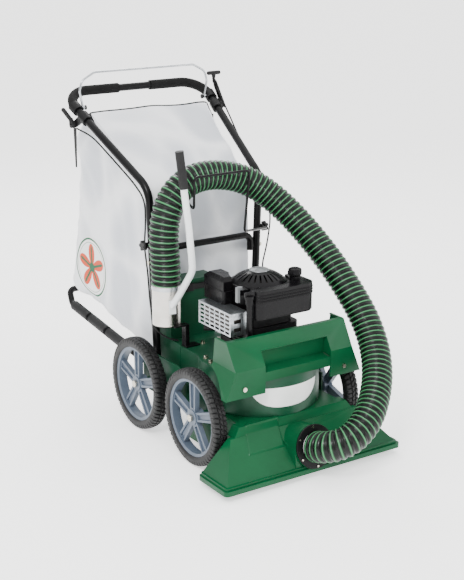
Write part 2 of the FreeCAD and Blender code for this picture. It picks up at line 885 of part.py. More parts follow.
def bail_mounts():
    """Clamps with a pivot pin and a stop knob for each end of the bail."""
    shapes = []
    for side in (-1, 1):
        block = clamp_block(side, bailShare, 34)
        reach = bailPivot.x - bailInset
        pin_part = Part.makeCylinder(4, bailInset - 9, Vector(
            side * (reach - 8), bailPivot.y, bailPivot.z),
            Vector(side, 0, 0))
        head = Part.makeCylinder(8, 3, Vector(
            side * (reach - 8), bailPivot.y, bailPivot.z),
            Vector(-side, 0, 0))
        shapes.append(block.fuse([pin_part, head]).cut(handleSeat)
                      .removeSplitter())
    return Part.makeCompound(shapes)


keep(solid(bail_mounts()), "bail_pivots")


leverPivot = on_handle(-1, 0.828) + Vector(-11, 2, -52)


def lever_mount():
    """The left bracket that carries the drive lever's pin."""
    block = clamp_block(-1, 0.72, 34)
    root = on_handle(-1, 0.72)
    x = leverPivot.x + 3
    arm = slab([(root.y - 20, root.z - 4), (root.y + 10, root.z + 12),
                (leverPivot.y + 11, leverPivot.z + 6),
                (leverPivot.y + 6, leverPivot.z - 10),
                (leverPivot.y - 8, leverPivot.z - 10)], x, x + 5)
    pin_part = Part.makeCylinder(4, 18, leverPivot + Vector(4, 0, 0),
                                 Vector(-1, 0, 0))
    return block.fuse([arm, pin_part]).cut(handleSeat)


def drive_lever():
    """A tapered hand lever with a rounded grip."""
    x = leverPivot.x - 10
    y, z = leverPivot.y, leverPivot.z
    eye = Part.makeCylinder(12, 12, Vector(x, y, z), Vector(1, 0, 0))
    grip = bar(7, (x + 5, y + 10, z + 15), (x - 12, y + 27, z + 46))
    knob = Part.makeSphere(7, Vector(x - 12, y + 27, z + 46))
    neck = Part.makeCone(10, 7, 20, Vector(x + 6, y, z),
                         Vector(0, 10, 16).normalize())
    trim = Part.makeBox(40, 90, 60, Vector(x + 12, y - 40, z - 40))
    hole = Part.makeCylinder(4.05, 30, Vector(x - 8, y, z),
                             Vector(1, 0, 0))
    return eye.fuse([grip, knob, neck]).cut([hole, trim])


keep(solid(lever_mount()), "lever_bracket")
keep(solid(drive_lever()), "drive_lever")


# ---- engine ------------------------------------------------------------

engineEars = [(110, 0), (0, 108), (-106, 0), (0, -104)]


def crankcase():
    """Base flange, sump, block and the finned cylinder to the left."""
    z0 = number(deckTop)
    y = number(S.shaftY)
    flange = Part.makeCylinder(100, 12, Vector(0, y, z0))
    ears = [Part.makeCylinder(15, 12, Vector(a, y + b, z0))
            for a, b in engineEars]
    sump = rounded_box((-92, 96), (y - 88, y + 92), (z0 + 12, z0 + 112), 26)
    block = rounded_box((-76, 80), (y - 74, y + 84), (z0 + 112, z0 + 150),
                        20)
    shape = flange.fuse([sump, block] + ears)
    for k in range(6):
        z = z0 + 60 + 9 * k
        fin = rounded_box((-104, -60), (y - 52, y + 52), (z, z + 3.4), 8)
        shape = shape.fuse(fin)
    bore = Part.makeCylinder(number(S.shaftDia) / 2 + number(S.runGap),
                             200, Vector(0, y, z0 - 10))
    shape = shape.cut(bore)
    return shape.removeSplitter()


block = keep(solid(crankcase()), "crankcase")
blowerBase = deckTop + 150
domeRadius = S.domeDia / 2


def blower_housing():
    """The moulded cover over the flywheel, open below the screen."""
    y = number(S.shaftY)
    low, high = number(blowerBase), number(blowerTop)
    radius = number(domeRadius) + 8
    bowl = Part.makeCylinder(radius, high - low, Vector(0, y, low))
    tail = rounded_box((-56, 116), (y - 6, y + 104), (low, high - 12), 30)
    lug = Part.makeBox(34, 22, 16, Vector(-114, y - 62, high - 16))
    cavity = Part.makeCylinder(radius - 7, high - low, Vector(
        0, y, low + 4))
    under = Part.makeCylinder(30, 10, Vector(0, y, low - 2))
    return bowl.fuse([tail, lug]).cut([cavity, under]).removeSplitter()


keep(solid(blower_housing()), "blower_housing")


def fuel_tank():
    """The banded tank that wraps the front of the blower housing."""
    y = number(S.shaftY)
    half = number(S.engineWidth) / 2
    front = number(engineFront)
    low, high = number(blowerBase) + 6, number(blowerTop) + 6
    left = -94
    body = rounded_box((left, half), (front, y + 40), (low, high), 30)
    skirt = rounded_box((left + 4, half - 4), (front + 5, y - 8),
                        (low - 5.6, low), 24)
    neck = Part.makeCylinder(17, 14, Vector(82, y - 74, high))
    round_gap = Part.makeCylinder(number(domeRadius) + 9, 200,
                                  Vector(0, y, low - 40))
    behind = Part.makeBox(2 * half, 60, 200, Vector(
        -half - 2, y - 6.6, low - 40))
    shape = body.fuse([skirt, neck]).cut([round_gap, behind])
    recess = Part.makeBox(40, 110, 200, Vector(left - 2, y - 90, low - 40))
    return shape.cut(recess).removeSplitter()


keep(solid(fuel_tank()), "fuel_tank")
capPlace = Vector(82, number(S.shaftY) - 74, number(blowerTop) + 20.4)
cap = new_body("fuel_cap")
revolve(cap, [(0, 0), (21, 0), (21, 20), (18, 24), (0, 24)])
cap.Placement = Placement(capPlace, Rotation())


def dome():
    """A slotted guard over the flywheel with a plain centre disc."""
    y, z = number(S.shaftY), number(blowerTop) + 0.4
    radius, rise = number(domeRadius) + 4, number(S.domeHeight)
    ball = (radius ** 2 + rise ** 2) / (2 * rise)
    base = Vector(0, y, z + rise - ball)
    shell = Part.makeSphere(ball, base).cut(Part.makeSphere(ball - 3, base))
    keep_top = Part.makeCylinder(radius, rise + 4, Vector(0, y, z))
    shell = shell.common(keep_top)
    slots = []
    for k in range(24):
        slot = Part.makeBox(30, 5, 60, Vector(0, -2.5, 0))
        slot.translate(Vector(44, 0, 0))
        slot.rotate(Vector(0, 0, 0), Vector(0, 0, 1), 15 * k)
        slot.translate(Vector(0, y, z - 5))
        slots.append(slot)
    return shell.cut(slots)


keep(solid(dome()), "recoil_screen")


def muffler():
    y, z = number(S.shaftY), number(deckTop)
    can = rounded_box((-152, -106), (y - 76, y + 86),
                      (z + 108, z + 170), 12)
    pipe = bar(11, (-108, y, z + 128), (-76, y, z + 128))
    return can.fuse(pipe).removeSplitter()


def muffler_guard():
    """A perforated plate folded round the muffler's outside."""
    y, z = number(S.shaftY), number(deckTop)
    plate = Part.makeBox(2, 180, 72, Vector(-162, y - 88, z + 104))
    front = Part.makeBox(62, 2, 72, Vector(-162, y - 88, z + 104))
    top = Part.makeBox(62, 180, 2, Vector(-162, y - 88, z + 174))
    shape = plate.fuse([front, top])
    holes = []
    for row in range(5):
        for k in range(6):
            holes.append(Part.makeBox(6, 22, 7, Vector(
                -165, y - 80 + 28 * k, z + 110 + 13 * row)))
    for row in range(2):
        holes.append(Part.makeBox(26, 6, 12, Vector(
            -150, y - 91, z + 118 + 26 * row)))
    tab = Part.makeBox(14, 26, 18, Vector(-102, y - 88, z + 132))
    return shape.cut(holes).fuse(tab).removeSplitter()


def air_cleaner():
    y, z = number(S.shaftY), number(deckTop)
    lower = rounded_box((-128, -60.4), (y + 4, y + 118),
                        (z + 176.4, z + 216), 10)
    upper = Part.makeLoft([rect_at((-126, -62), (y + 6, y + 116), z + 216),
                           rect_at((-126, -62), (y + 6, y + 116), z + 246),
                           rect_at((-114, -72), (y + 18, y + 104), z + 258)],
                          True, True)
    cover = Part.makeCylinder(number(domeRadius) + 9, 300,
                              Vector(0, y, z + 100))
    tail = Part.makeBox(60, 200, 200, Vector(-56.4, y - 6, z + 100))
    return lower.fuse(upper).cut([cover, tail]).removeSplitter()


def carburettor():
    y, z = number(S.shaftY), number(deckTop)
    bowl = Part.makeCylinder(17, 26, Vector(-84, y + 106, z + 62))
    throat = Part.makeCylinder(15, 46, Vector(-84, y + 92.2, z + 104),
                               Vector(0, 1, 0))
    block = Part.makeBox(34, 34, 22, Vector(-101, y + 92.2, z + 88))
    return bowl.fuse([throat, block]).removeSplitter()


def filler_tube():
    """The oil filler pipe beside the block's front left corner."""
    y, z = number(S.shaftY), number(deckTop)
    points = [(-80, y - 84, z + 40), (-110, y - 110, z + 62),
              (-110, y - 110, z + 214)]
    shape = tube(points, 9, None, 20).cut(block.Shape)
    top = Part.makeCylinder(12, 16, Vector(-110, y - 110, z + 206))
    bore = Part.makeCylinder(3.05, 140, Vector(-110, y - 110, z + 86))
    return shape.fuse(top).cut(bore).removeSplitter()


def dipstick():
    y, z = number(S.shaftY), number(deckTop)
    head = Part.makeCylinder(14, 9, Vector(-110, y - 110, z + 222.4))
    wing = Part.makeBox(34, 6, 14, Vector(-127, y - 113, z + 229))
    stick = Part.makeCylinder(3, 132, Vector(-110, y - 110, z + 92))
    return head.fuse([wing, stick]).removeSplitter()


def spark_plug():
    y, z = number(S.shaftY), number(deckTop)
    body = bar(8, (-103, y + 40, z + 90), (-132, y + 62, z + 90))
    boot = bar(11, (-126, y + 57.5, z + 90), (-152, y + 77, z + 90))
    return body.fuse(boot).cut(block.Shape).removeSplitter()


def choke_lever():
    """The grey bent lever at the screen's left."""
    y, z = number(S.shaftY), number(blowerTop)
    hub = Part.makeCylinder(8, 8, Vector(-105, y - 51, z + 0.4))
    arm = bar(3.5, (-105, y - 51, z + 5), (-122, y - 66, z + 5))
    blade = Part.makeBox(9, 12, 46, Vector(-128, y - 74, z - 32))
    return hub.fuse([arm, blade]).removeSplitter()


keep(solid(muffler()), "muffler")
keep(solid(muffler_guard()), "muffler_guard")
keep(solid(air_cleaner()), "air_cleaner")
keep(solid(carburettor()), "carburettor")
keep(solid(filler_tube()), "oil_filler_tube")
keep(solid(dipstick()), "oil_dipstick")
keep(solid(spark_plug()), "spark_plug")
keep(solid(choke_lever()), "choke_lever")


def deck_bolts():
    """Hex heads on washers that hold the engine and the deck down."""
    z = number(deckTop)
    y = number(S.shaftY)
    shapes = []
    for a, b in engineEars:
        shapes.append(Part.makeCylinder(7, 6, Vector(a, y + b, z + 12)))
    spots = [(-165, y + 46), (-174, y + 4), (-100, y + 168),
             (-40, y + 168), (174, y + 10), (120, y + 130)]
    for x, spot in spots:
        shapes.append(Part.makeCylinder(9, 2, Vector(x, spot, z)))
        shapes.append(Part.makeCylinder(6, 7, Vector(x, spot, z + 2)))
    return Part.makeCompound(shapes)


keep(solid(deck_bolts()), "deck_bolts")


# ---- hose, wand and hanger ---------------------------------------------

hoseStart = portFace + portAxis * 6
hoseEnd = S.wandFoot + S.wandLength - 22
HOSE = [(24, -694, 124), (72, -710, 148), (133, -694, 184),
        (194, -650, 226), (247, -596, 276), (284, -532, 338),
        (295, -464, 411), (286, -396, 482), (268, -318, 562),
        (240, -240, 638), (206, -178, 702), (164, -130, 755),
        (104, -97, 801), (30, -79, 826), (-52, -76, 833),
        (-121, -79, 818), (-173, -85, 778), (-201, -91, 721),
        (-211, -95, 643)]


def hose():
    """The hose leaves the port square and ends square on the wand."""
    x, y, z = S.wandX, S.wandY, hoseEnd
    points = [tuple(hoseStart), tuple(hoseStart + portAxis * 38)]
    points += HOSE + [(x, y, z + 60), (x, y, z)]
    path, radii = route(points)
    print("suction_hose length", round(path.Length),
          "radii", [round(r) for r in radii])
    return swept(path, S.hoseDia / 2)


keep(solid(hose()), "suction_hose")


def wand_tube():
    x, y = number(S.wandX), number(S.wandY)
    low, high = number(S.wandFoot), number(hoseEnd)
    outer = Part.makeCylinder(number(S.wandDia) / 2, high - low,
                              Vector(x, y, low))
    inner = Part.makeCylinder(number(S.wandDia) / 2 - 2, high - low + 2,
                              Vector(x, y, low - 1))
    return outer.cut(inner)


keep(solid(wand_tube()), "wand_tube")


def hose_clamp():
    """A worm-drive band with its screw housing at the hose's end."""
    radius = number(S.wandDia) / 2
    base = Vector(number(S.wandX), number(S.wandY), number(hoseEnd) - 14)
    band = Part.makeCylinder(radius + 1.6, 12, base)
    housing = Part.makeBox(18, 9, 12, base + Vector(-9, radius, 0))
    inside = Part.makeCylinder(radius, 14, base - Vector(0, 0, 1))
    return band.fuse(housing).cut(inside).removeSplitter()


keep(solid(hose_clamp()), "hose_clamp")


def wand_handle():
    """A bent lift bar riveted to the wand by a flattened foot."""
    x, y = number(S.wandX), number(S.wandY)
    low = number(S.wandFoot)
    r = number(S.wandDia) / 2
    foot = Vector(x - r * 0.16, y - r * 0.985, low + 67)
    points = [(foot.x, foot.y, foot.z),
              (foot.x + 18, foot.y - 18, foot.z + 40),
              (foot.x + 54, foot.y - 38, foot.z + 115),
              (foot.x + 48, foot.y - 30, foot.z + 240),
              (foot.x + 30, foot.y - 24, foot.z + 408)]
    shape = tube(points, 11, None, 60)
    pad_part = Part.makeBox(22, 6, 44, Vector(-11, -6, -22))
    pad_part.rotate(Vector(0, 0, 0), Vector(0, 0, 1), -9)
    pad_part.translate(foot + Vector(1, 0, -2))
    shape = shape.fuse(pad_part)
    tube_gap = Part.makeCylinder(r, 200, Vector(x, y, low - 20))
    return shape.cut(tube_gap).removeSplitter(), points[-2], points[-1]


handleShape, gripFrom, gripTo = wand_handle()
keep(solid(handleShape), "wand_handle")


def wand_grip():
    a, b = Vector(*gripFrom), Vector(*gripTo)
    way = (b - a).normalize()
    start = b - way * 34
    sleeve = Part.makeCylinder(13.5, 116, start, way)
    return sleeve.cut(Part.makeCylinder(11, 34.01, start, way))


keep(solid(wand_grip()), "wand_grip")


def wand_peg():
    """The bracket on the deck whose plate and pegs carry the wand."""
    x, y = number(S.wandX), number(S.wandY)
    low = number(S.wandFoot)
    z = number(deckTop)
    plate = Part.makeCylinder(42, 5, Vector(x, y, low - 5.4))
    tongue = Part.makeBox(52, 24, 5, Vector(x, y - 52, low - 5.4))
    foot = Part.makeBox(50, 32, 5, Vector(x + 36, y - 60, z))
    post = Part.makeBox(14, 24, low - 3 - z, Vector(x + 38, y - 52, z))
    peg = Part.makeCylinder(30, 26, Vector(x, y, low - 2))
    return plate.fuse([tongue, foot, post, peg]).removeSplitter()


keep(solid(wand_peg()), "wand_bracket")


# ---- hose hanger, its bolts and knobs ----------------------------------

hangerHeight = number(S.crossHeight) + 21
hangerX = half_at(hangerHeight) + number(tubeRadius) + 6


def hose_hanger():
    """A wire loop in front of the handle that holds the hose's arch."""
    x, y, z = hangerX, number(S.tubeY), hangerHeight
    points = [(x, y - 8, z), (x - 4, -38, z + 3), (54, -150, 653),
              (74, -150, 847), (-131, -150, 847), (-126, -140, 745),
              (-109, -60, 757), (-115, -33, 690), (-160, -33, 648),
              (-x + 3, -34, z + 8), (-x, y - 8, z)]
    shape = tube(points, 4, None, 14)
    for side in (-1, 1):
        eye = Part.makeCylinder(9.5, 7, Vector(side * x - 3.5, y, z),
                                Vector(1, 0, 0))
        hole = Part.makeCylinder(4.05, 9, Vector(side * x - 4.5, y, z),
                                 Vector(1, 0, 0))
        shape = shape.fuse(eye).cut(hole)
    return shape.removeSplitter()


keep(solid(hose_hanger()), "hose_hanger")


def hanger_mount(side):
    """A through bolt that holds the hanger's eye and a star knob."""
    return Part.makeCylinder(4, 21.3, Vector(
        side * (hangerX - 12), number(S.tubeY), hangerHeight),
        Vector(side, 0, 0))


def star_knob(side):
    """A five-lobed knob on the hanger's bolt."""
    start = side * (hangerX + 5)
    y, z = number(S.tubeY), hangerHeight
    hub = Part.makeCylinder(11, 13, Vector(start, y, z),
                            Vector(side, 0, 0))
    for k in range(5):
        angle = math.radians(72 * k)
        hub = hub.fuse(Part.makeCylinder(6, 13, Vector(
            start, y + 11 * math.cos(angle), z + 11 * math.sin(angle)),
            Vector(side, 0, 0)))
    hole = Part.makeCylinder(4.05, 6, Vector(start - side, y, z),
                             Vector(side, 0, 0))
    return hub.cut(hole).removeSplitter()


fasteners = handle_bolts() + [hanger_mount(-1), hanger_mount(1)]
keep(solid(Part.makeCompound([shape.cut(handleSeat)
                              for shape in fasteners])), "handle_bolts")
keep(solid(star_knob(-1)), "handle_knob_left")
keep(solid(star_knob(1)), "handle_knob_right")


# ---- bag and its carrier -----------------------------------------------

def bag():
    """The filled felt bag as one closed solid of its true outer shape."""
    half = number(S.bagHalf)
    front, rear = number(S.bagFront), number(S.bagRear)
    top = number(S.bagTop)
    side = [(front, 236), (rear - 28, 302), (rear, 336),
            (rear - 92, top - 116), (rear - 288, top - 6),
            (rear - 300, top - 10), (front + 16, 806), (front, 780)]
    return slab(side, -half, half)


keep(solid(bag()), "bag")


def bag_top_rod():
    """The wire sewn into the hem that hooks over the upper tubes."""
    y, z = number(S.bagRear) - 290, number(S.bagTop) + 3
    points = [(-214, y + 12, z - 10), (-190, y, z), (190, y, z),
              (214, y + 12, z - 10)]
    return tube(points, 3, None, 14)


keep(solid(bag_top_rod()), "bag_hem_rod")


def bag_rails():
    """A U-shaped carrier under the bag with its rear end turned up."""
    half = number(S.railHalf)
    rear = number(S.bagRear) - 1
    points = [(-half, 64, 206), (-half, rear - 40, 266),
              (-half + 10, rear, 306), (half - 10, rear, 306),
              (half, rear - 40, 266), (half, 64, 206)]
    return tube(points, S.railDia / 2, 2, 26)


keep(solid(bag_rails()), "bag_carrier")


def carrier_sleeves():
    """Webbing sleeves sewn to the bag that slide over the carrier."""
    half = number(S.railHalf)
    rear = number(S.bagRear) - 1
    start = Vector(0, 64, 206)
    way = Vector(0, rear - 40 - 64, 60).normalize()
    shapes = []
    for side in (-1, 1):
        for near in (120, 250, 380):
            at = start + way * near
            at.x = side * half
            sleeve = Part.makeCylinder(number(S.railDia) / 2 + 6, 116, at,
                                       way)
            shapes.append(sleeve.cut(Part.makeCylinder(
                number(S.railDia) / 2 + 0.02, 118, at - way, way)))
    return shapes


def bag_straps():
    """Side straps from the bag's top corners to the handle clamps."""
    shapes = []
    for side in (-1, 1):
        top = on_handle(side, 0.828)
        x = side * 266
        strap = slab([(top.y - 8, top.z - 64), (top.y - 3, top.z - 196),
                      (top.y + 4, top.z - 196), (top.y + 10, top.z - 64)],
                     min(x, x + side * 3), max(x, x + side * 3))
        shapes.append(strap)
    return shapes


keep(solid(Part.makeCompound(carrier_sleeves() + bag_straps())),
     "bag_webbing")


# ---- starter grip and its cord, control cable --------------------------

guide = Vector(number(S.barHalf) + 14, number(S.barY) - 71,
               number(S.barHeight) - 1)
pullWay = Vector(24, 169, 140).normalize()
cordRadius = 1.65


def starter_bracket():
    """A tapered plate on the right tube with the cord's guide eye."""
    root = on_handle(1, 0.72)
    block = clamp_block(1, 0.72, 34)
    edge = [(root.y - 18, root.z - 10), (root.y + 16, root.z - 4),
            (guide.y + 4, guide.z - 8), (guide.y + 2, guide.z + 9),
            (guide.y - 10, guide.z + 9)]
    plate = slab(edge, root.x + 27.6, root.x + 32)
    boss = Part.makeCylinder(9, 24, root + Vector(8, 0, 0),
                             Vector(1, 0, 0))
    eye = Part.makeCylinder(7, 22, guide - pullWay * 11, pullWay)
    hole = Part.makeCylinder(4, 130, guide - pullWay * 100, pullWay)
    shape = block.fuse([plate, boss, eye])
    return shape.cut([hole, handleSeat]).removeSplitter()


def starter_grip():
    """A T-shaped pull, its ferrule and a straight length of cord."""
    foot = guide + pullWay * 11.6
    middle = foot + Vector(0, 2, 26)
    ferrule = Part.makeCylinder(4.5, 9, foot, pullWay)
    stem = Part.makeCone(5, 9, 21, foot + Vector(0, 2, 5),
                         Vector(0, 0, 1))
    head = Part.makeCylinder(7, 42, middle + Vector(-21, 0, 0),
                             Vector(1, 0, 0))
    ends = [Part.makeSphere(7, middle + Vector(x, 0, 0))
            for x in (-21, 21)]
    cord = Part.makeCylinder(cordRadius, 216, foot - pullWay * 215,
                             pullWay)
    return stem.fuse([head, ferrule, cord] + ends).removeSplitter()


keep(solid(starter_bracket()), "starter_bracket")
keep(solid(starter_grip()), "starter_grip")

STARTER = [(240, 124, 849), (231, 30, 813), (222, -36, 745),
           (212, -70, 660), (150, -140, 600), (90, -200, 556),
           (76, -222, 530)]
CABLE = [(-274, 346, 940), (-262, 262, 925), (-244, 140, 858),
         (-232, 50, 808), (-228, -12, 766), (-238, -34, 700),
         (-246, -36, 620), (-226, -18, 540), (-216, -12, 430),
         (-212, -26, 345), (-190, -62, 318), (-156, -86, 307.9)]


def whole_cord(name, points, radius):
    path, radii = route(points)
    print(name, "length", round(path.Length),
          "radii", [round(r) for r in radii])
    return swept(path, radius)


starterTop = guide - pullWay * 11.4
starterCore = Part.makeCylinder(cordRadius + number(S.runGap), 206,
                                starterTop - pullWay * 205.9, pullWay)
keep(solid(whole_cord("starter_cord", [tuple(starterTop)] + STARTER,
                      2.6).cut(starterCore)), "starter_cord")
keep(solid(whole_cord("control_cable", CABLE, 2.8)), "control_cable")


# ---- checks and export -------------------------------------------------

doc.recompute()
faults = []
for item in doc.Objects:
    if "Invalid" in item.State or "Error" in item.State:
        faults.append(item.Label + " " + str(item.State))
for item in nodes:
    shape = item.Shape
    if shape.isNull() or not shape.isValid():
        faults.append(item.Label + " has a bad shape")
    elif shape.Volume <= 0:
        faults.append(item.Label + " is inside out")
print("nodes", len(nodes))
if faults:
    raise SystemExit("\n".join(faults))
for item in nodes:
    item.Shape.exportStep("parts/" + item.Label + ".step")
whole = Part.makeCompound([item.Shape for item in nodes])
bounds = whole.BoundBox
print("box", [round(v, 1) for v in (bounds.XMin, bounds.YMin, bounds.ZMin,
                                    bounds.XMax, bounds.YMax, bounds.ZMax)])
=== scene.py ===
import json
import math

import bmesh
import bpy
import numpy as np
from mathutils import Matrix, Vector

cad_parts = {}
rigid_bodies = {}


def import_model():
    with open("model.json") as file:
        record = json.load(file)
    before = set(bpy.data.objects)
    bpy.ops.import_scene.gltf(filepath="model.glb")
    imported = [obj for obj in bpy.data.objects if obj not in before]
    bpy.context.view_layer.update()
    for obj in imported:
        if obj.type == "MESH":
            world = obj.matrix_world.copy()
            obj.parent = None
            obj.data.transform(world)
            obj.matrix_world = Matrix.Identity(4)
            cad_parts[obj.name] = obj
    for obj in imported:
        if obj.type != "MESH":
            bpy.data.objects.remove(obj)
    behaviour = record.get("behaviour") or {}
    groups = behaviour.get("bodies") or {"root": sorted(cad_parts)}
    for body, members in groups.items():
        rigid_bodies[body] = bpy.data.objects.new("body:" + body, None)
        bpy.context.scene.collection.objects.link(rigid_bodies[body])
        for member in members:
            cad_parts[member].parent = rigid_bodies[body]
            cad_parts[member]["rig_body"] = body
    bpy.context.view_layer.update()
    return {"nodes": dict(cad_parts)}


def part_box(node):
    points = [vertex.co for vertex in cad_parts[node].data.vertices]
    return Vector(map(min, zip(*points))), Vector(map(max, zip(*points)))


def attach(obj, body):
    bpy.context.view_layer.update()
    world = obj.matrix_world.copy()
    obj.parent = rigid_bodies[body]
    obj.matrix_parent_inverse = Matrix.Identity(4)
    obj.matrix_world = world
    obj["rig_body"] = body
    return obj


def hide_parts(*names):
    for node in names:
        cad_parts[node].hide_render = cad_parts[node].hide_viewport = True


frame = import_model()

nodes = frame["nodes"]
print("frame loaded:", len(nodes), "nodes")


def hexColour(code):
    # sRGB hex to linear RGBA
    parts = [int(code[i:i + 2], 16) / 255 for i in (1, 3, 5)]
    return [c / 12.92 if c <= 0.04045 else ((c + 0.055) / 1.055) ** 2.4 for c in parts] + [1.0]


def addNode(tree, kind, settings=None, links=None):
    # settings: attribute or socket -> value; links: socket -> (node, output)
    made = tree.nodes.new(kind)
    for key, value in (settings or {}).items():
        if isinstance(key, str) and hasattr(made, key):
            setattr(made, key, value)
        else:
            made.inputs[key].default_value = value
    for key, (source, output) in (links or {}).items():
        tree.links.new(source.outputs[output], made.inputs[key])
    return made


def newMaterial(name):
    made = bpy.data.materials.new(name)
    made.use_nodes = True
    return made, made.node_tree, made.node_tree.nodes["Principled BSDF"]


def finish(name, colour, shade, mottle=0.09, grain=0.0012, bump=0.15, rough=0.45, spread=0.08, metal=0.0,
           coat=0.0, coatRough=0.1, stretch=(1, 1, 1), sheen=0.0, ior=None, spec=0.5):
    # a surface with slow colour drift, uneven gloss and a fine grain; lengths in metres
    made, tree, shader = newMaterial(name)
    place = addNode(tree, "ShaderNodeTexCoord")
    stretched = addNode(tree, "ShaderNodeMapping", {"Scale": stretch}, {"Vector": (place, "Object")})
    slow = addNode(tree, "ShaderNodeTexNoise", {"Scale": 1 / mottle, "Detail": 4.0, "Roughness": 0.55},
                   {"Vector": (place, "Object")})
    fine = addNode(tree, "ShaderNodeTexNoise", {"Scale": 1 / grain, "Detail": 3.0},
                   {"Vector": (stretched, "Vector")})
    drift = addNode(tree, "ShaderNodeMapRange", {"From Min": 0.3, "From Max": 0.7}, {"Value": (slow, "Fac")})
    tone = addNode(tree, "ShaderNodeMix", {"data_type": "RGBA", 6: hexColour(colour), 7: hexColour(shade)},
                   {0: (drift, "Result")})
    tree.links.new(tone.outputs[2], shader.inputs["Base Color"])
    both = addNode(tree, "ShaderNodeMath", {"operation": "ADD"}, {0: (slow, "Fac"), 1: (fine, "Fac")})
    gloss = addNode(tree, "ShaderNodeMapRange",
                    {"From Min": 0.6, "From Max": 1.4, "To Min": rough - spread, "To Max": rough + spread},
                    {"Value": (both, 0)})
    tree.links.new(gloss.outputs["Result"], shader.inputs["Roughness"])
    relief = addNode(tree, "ShaderNodeBump", {"Strength": bump, "Distance": grain * 0.4}, {"Height": (fine, "Fac")})
    tree.links.new(relief.outputs["Normal"], shader.inputs["Normal"])
    shader.inputs["Metallic"].default_value = metal
    shader.inputs["Coat Weight"].default_value = coat
    shader.inputs["Coat Roughness"].default_value = coatRough
    shader.inputs["Sheen Weight"].default_value = sheen
    shader.inputs["Specular IOR Level"].default_value = spec
    if ior:
        shader.inputs["IOR"].default_value = ior
    return made


def newPiece(name, points, faces, body, material, smooth=True, sharp=None):
    mesh = bpy.data.meshes.new(name)
    mesh.from_pydata(np.asarray(points, float).tolist(), [], faces if isinstance(faces, list) else faces.tolist())
    mesh.polygons.foreach_set("use_smooth", [smooth] * len(mesh.polygons))
    mesh.update()
    if sharp:
        mesh.set_sharp_from_angle(angle=math.radians(sharp))
    piece = bpy.data.objects.new(name, mesh)
    bpy.context.scene.collection.objects.link(piece)
    mesh.materials.append(material)
    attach(piece, body)
    return piece


def gridFaces(rows, cols, wrapRows=False, wrapCols=False):
    # quads of a rows by cols grid of points, closed round either way if asked
    r = np.arange(rows if wrapRows else rows - 1)
    c = np.arange(cols if wrapCols else cols - 1)
    r, c = (a.ravel() for a in np.meshgrid(r, c, indexing="ij"))
    nextR, nextC = (r + 1) % rows, (c + 1) % cols
    return np.stack([r * cols + c, r * cols + nextC, nextR * cols + nextC, nextR * cols + c], 1)


def smoothLine(points, spacing):
    # the NURBS line through a cord's route, read back and spaced evenly
    curve = bpy.data.curves.new("line", "CURVE")
    curve.dimensions = "3D"
    curve.resolution_u = 24
    spline = curve.splines.new("NURBS")
    spline.points.add(len(points) - 1)
    for spot, p in zip(spline.points, points):
        spot.co = (*p, 1)
    spline.order_u = 3
    spline.use_endpoint_u = True
    holder = bpy.data.objects.new("line", curve)
    bpy.context.scene.collection.objects.link(holder)
    mesh = bpy.data.meshes.new_from_object(holder)
    line = np.zeros(len(mesh.vertices) * 3)
    mesh.vertices.foreach_get("co", line)
    line = line.reshape(-1, 3)
    bpy.data.objects.remove(holder)
    bpy.data.curves.remove(curve)
    bpy.data.meshes.remove(mesh)
    steps = np.r_[0, np.cumsum(np.linalg.norm(np.diff(line, axis=0), axis=1))]
    count = max(3, int(round(steps[-1] / spacing)) + 1)
    at = np.linspace(0, steps[-1], count)
    return np.stack([np.interp(at, steps, line[:, k]) for k in range(3)], 1), steps[-1]


def frames(line):
    # tangent and two side vectors at each point, carried along without twist
    ahead = np.gradient(line, axis=0)
    ahead /= np.linalg.norm(ahead, axis=1)[:, None]
    side = np.zeros_like(line)
    start = np.cross(ahead[0], [0.31, 0.17, 0.93])
    side[0] = start / np.linalg.norm(start)
    for i in range(1, len(line)):
        s = side[i - 1] - ahead[i] * (side[i - 1] @ ahead[i])
        side[i] = s / np.linalg.norm(s)
    return ahead, side, np.cross(ahead, side)


def tubeMesh(line, radius, around=16, caps=True):
    # points and faces of a round tube; radius is one number or one per point and angle
    _, side, up = frames(line)
    turn = np.linspace(0, 2 * math.pi, around, endpoint=False)
    radius = np.broadcast_to(np.asarray(radius, float), (len(line), around)) if np.ndim(radius) != 1 \
        else np.repeat(np.asarray(radius)[:, None], around, 1)
    points = (line[:, None] + radius[..., None] * (side[:, None] * np.cos(turn)[:, None]
                                                   + up[:, None] * np.sin(turn)[:, None]))
    faces = gridFaces(len(line), around, wrapCols=True)
    points = points.reshape(-1, 3)
    faceList = faces[:, ::-1].tolist()
    if caps:
        faceList.append(list(range(around)))
        faceList.append(list(range(len(points) - around, len(points)))[::-1])
    return points, faceList


def fixNormals(mesh, merge=None):
    work = bmesh.new()
    work.from_mesh(mesh)
    if merge:
        bmesh.ops.remove_doubles(work, verts=work.verts, dist=merge)
    bmesh.ops.recalc_face_normals(work, faces=work.faces)
    work.to_mesh(mesh)
    work.free()
    mesh.update()


def bodyOf(node):
    return nodes[node]["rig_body"]


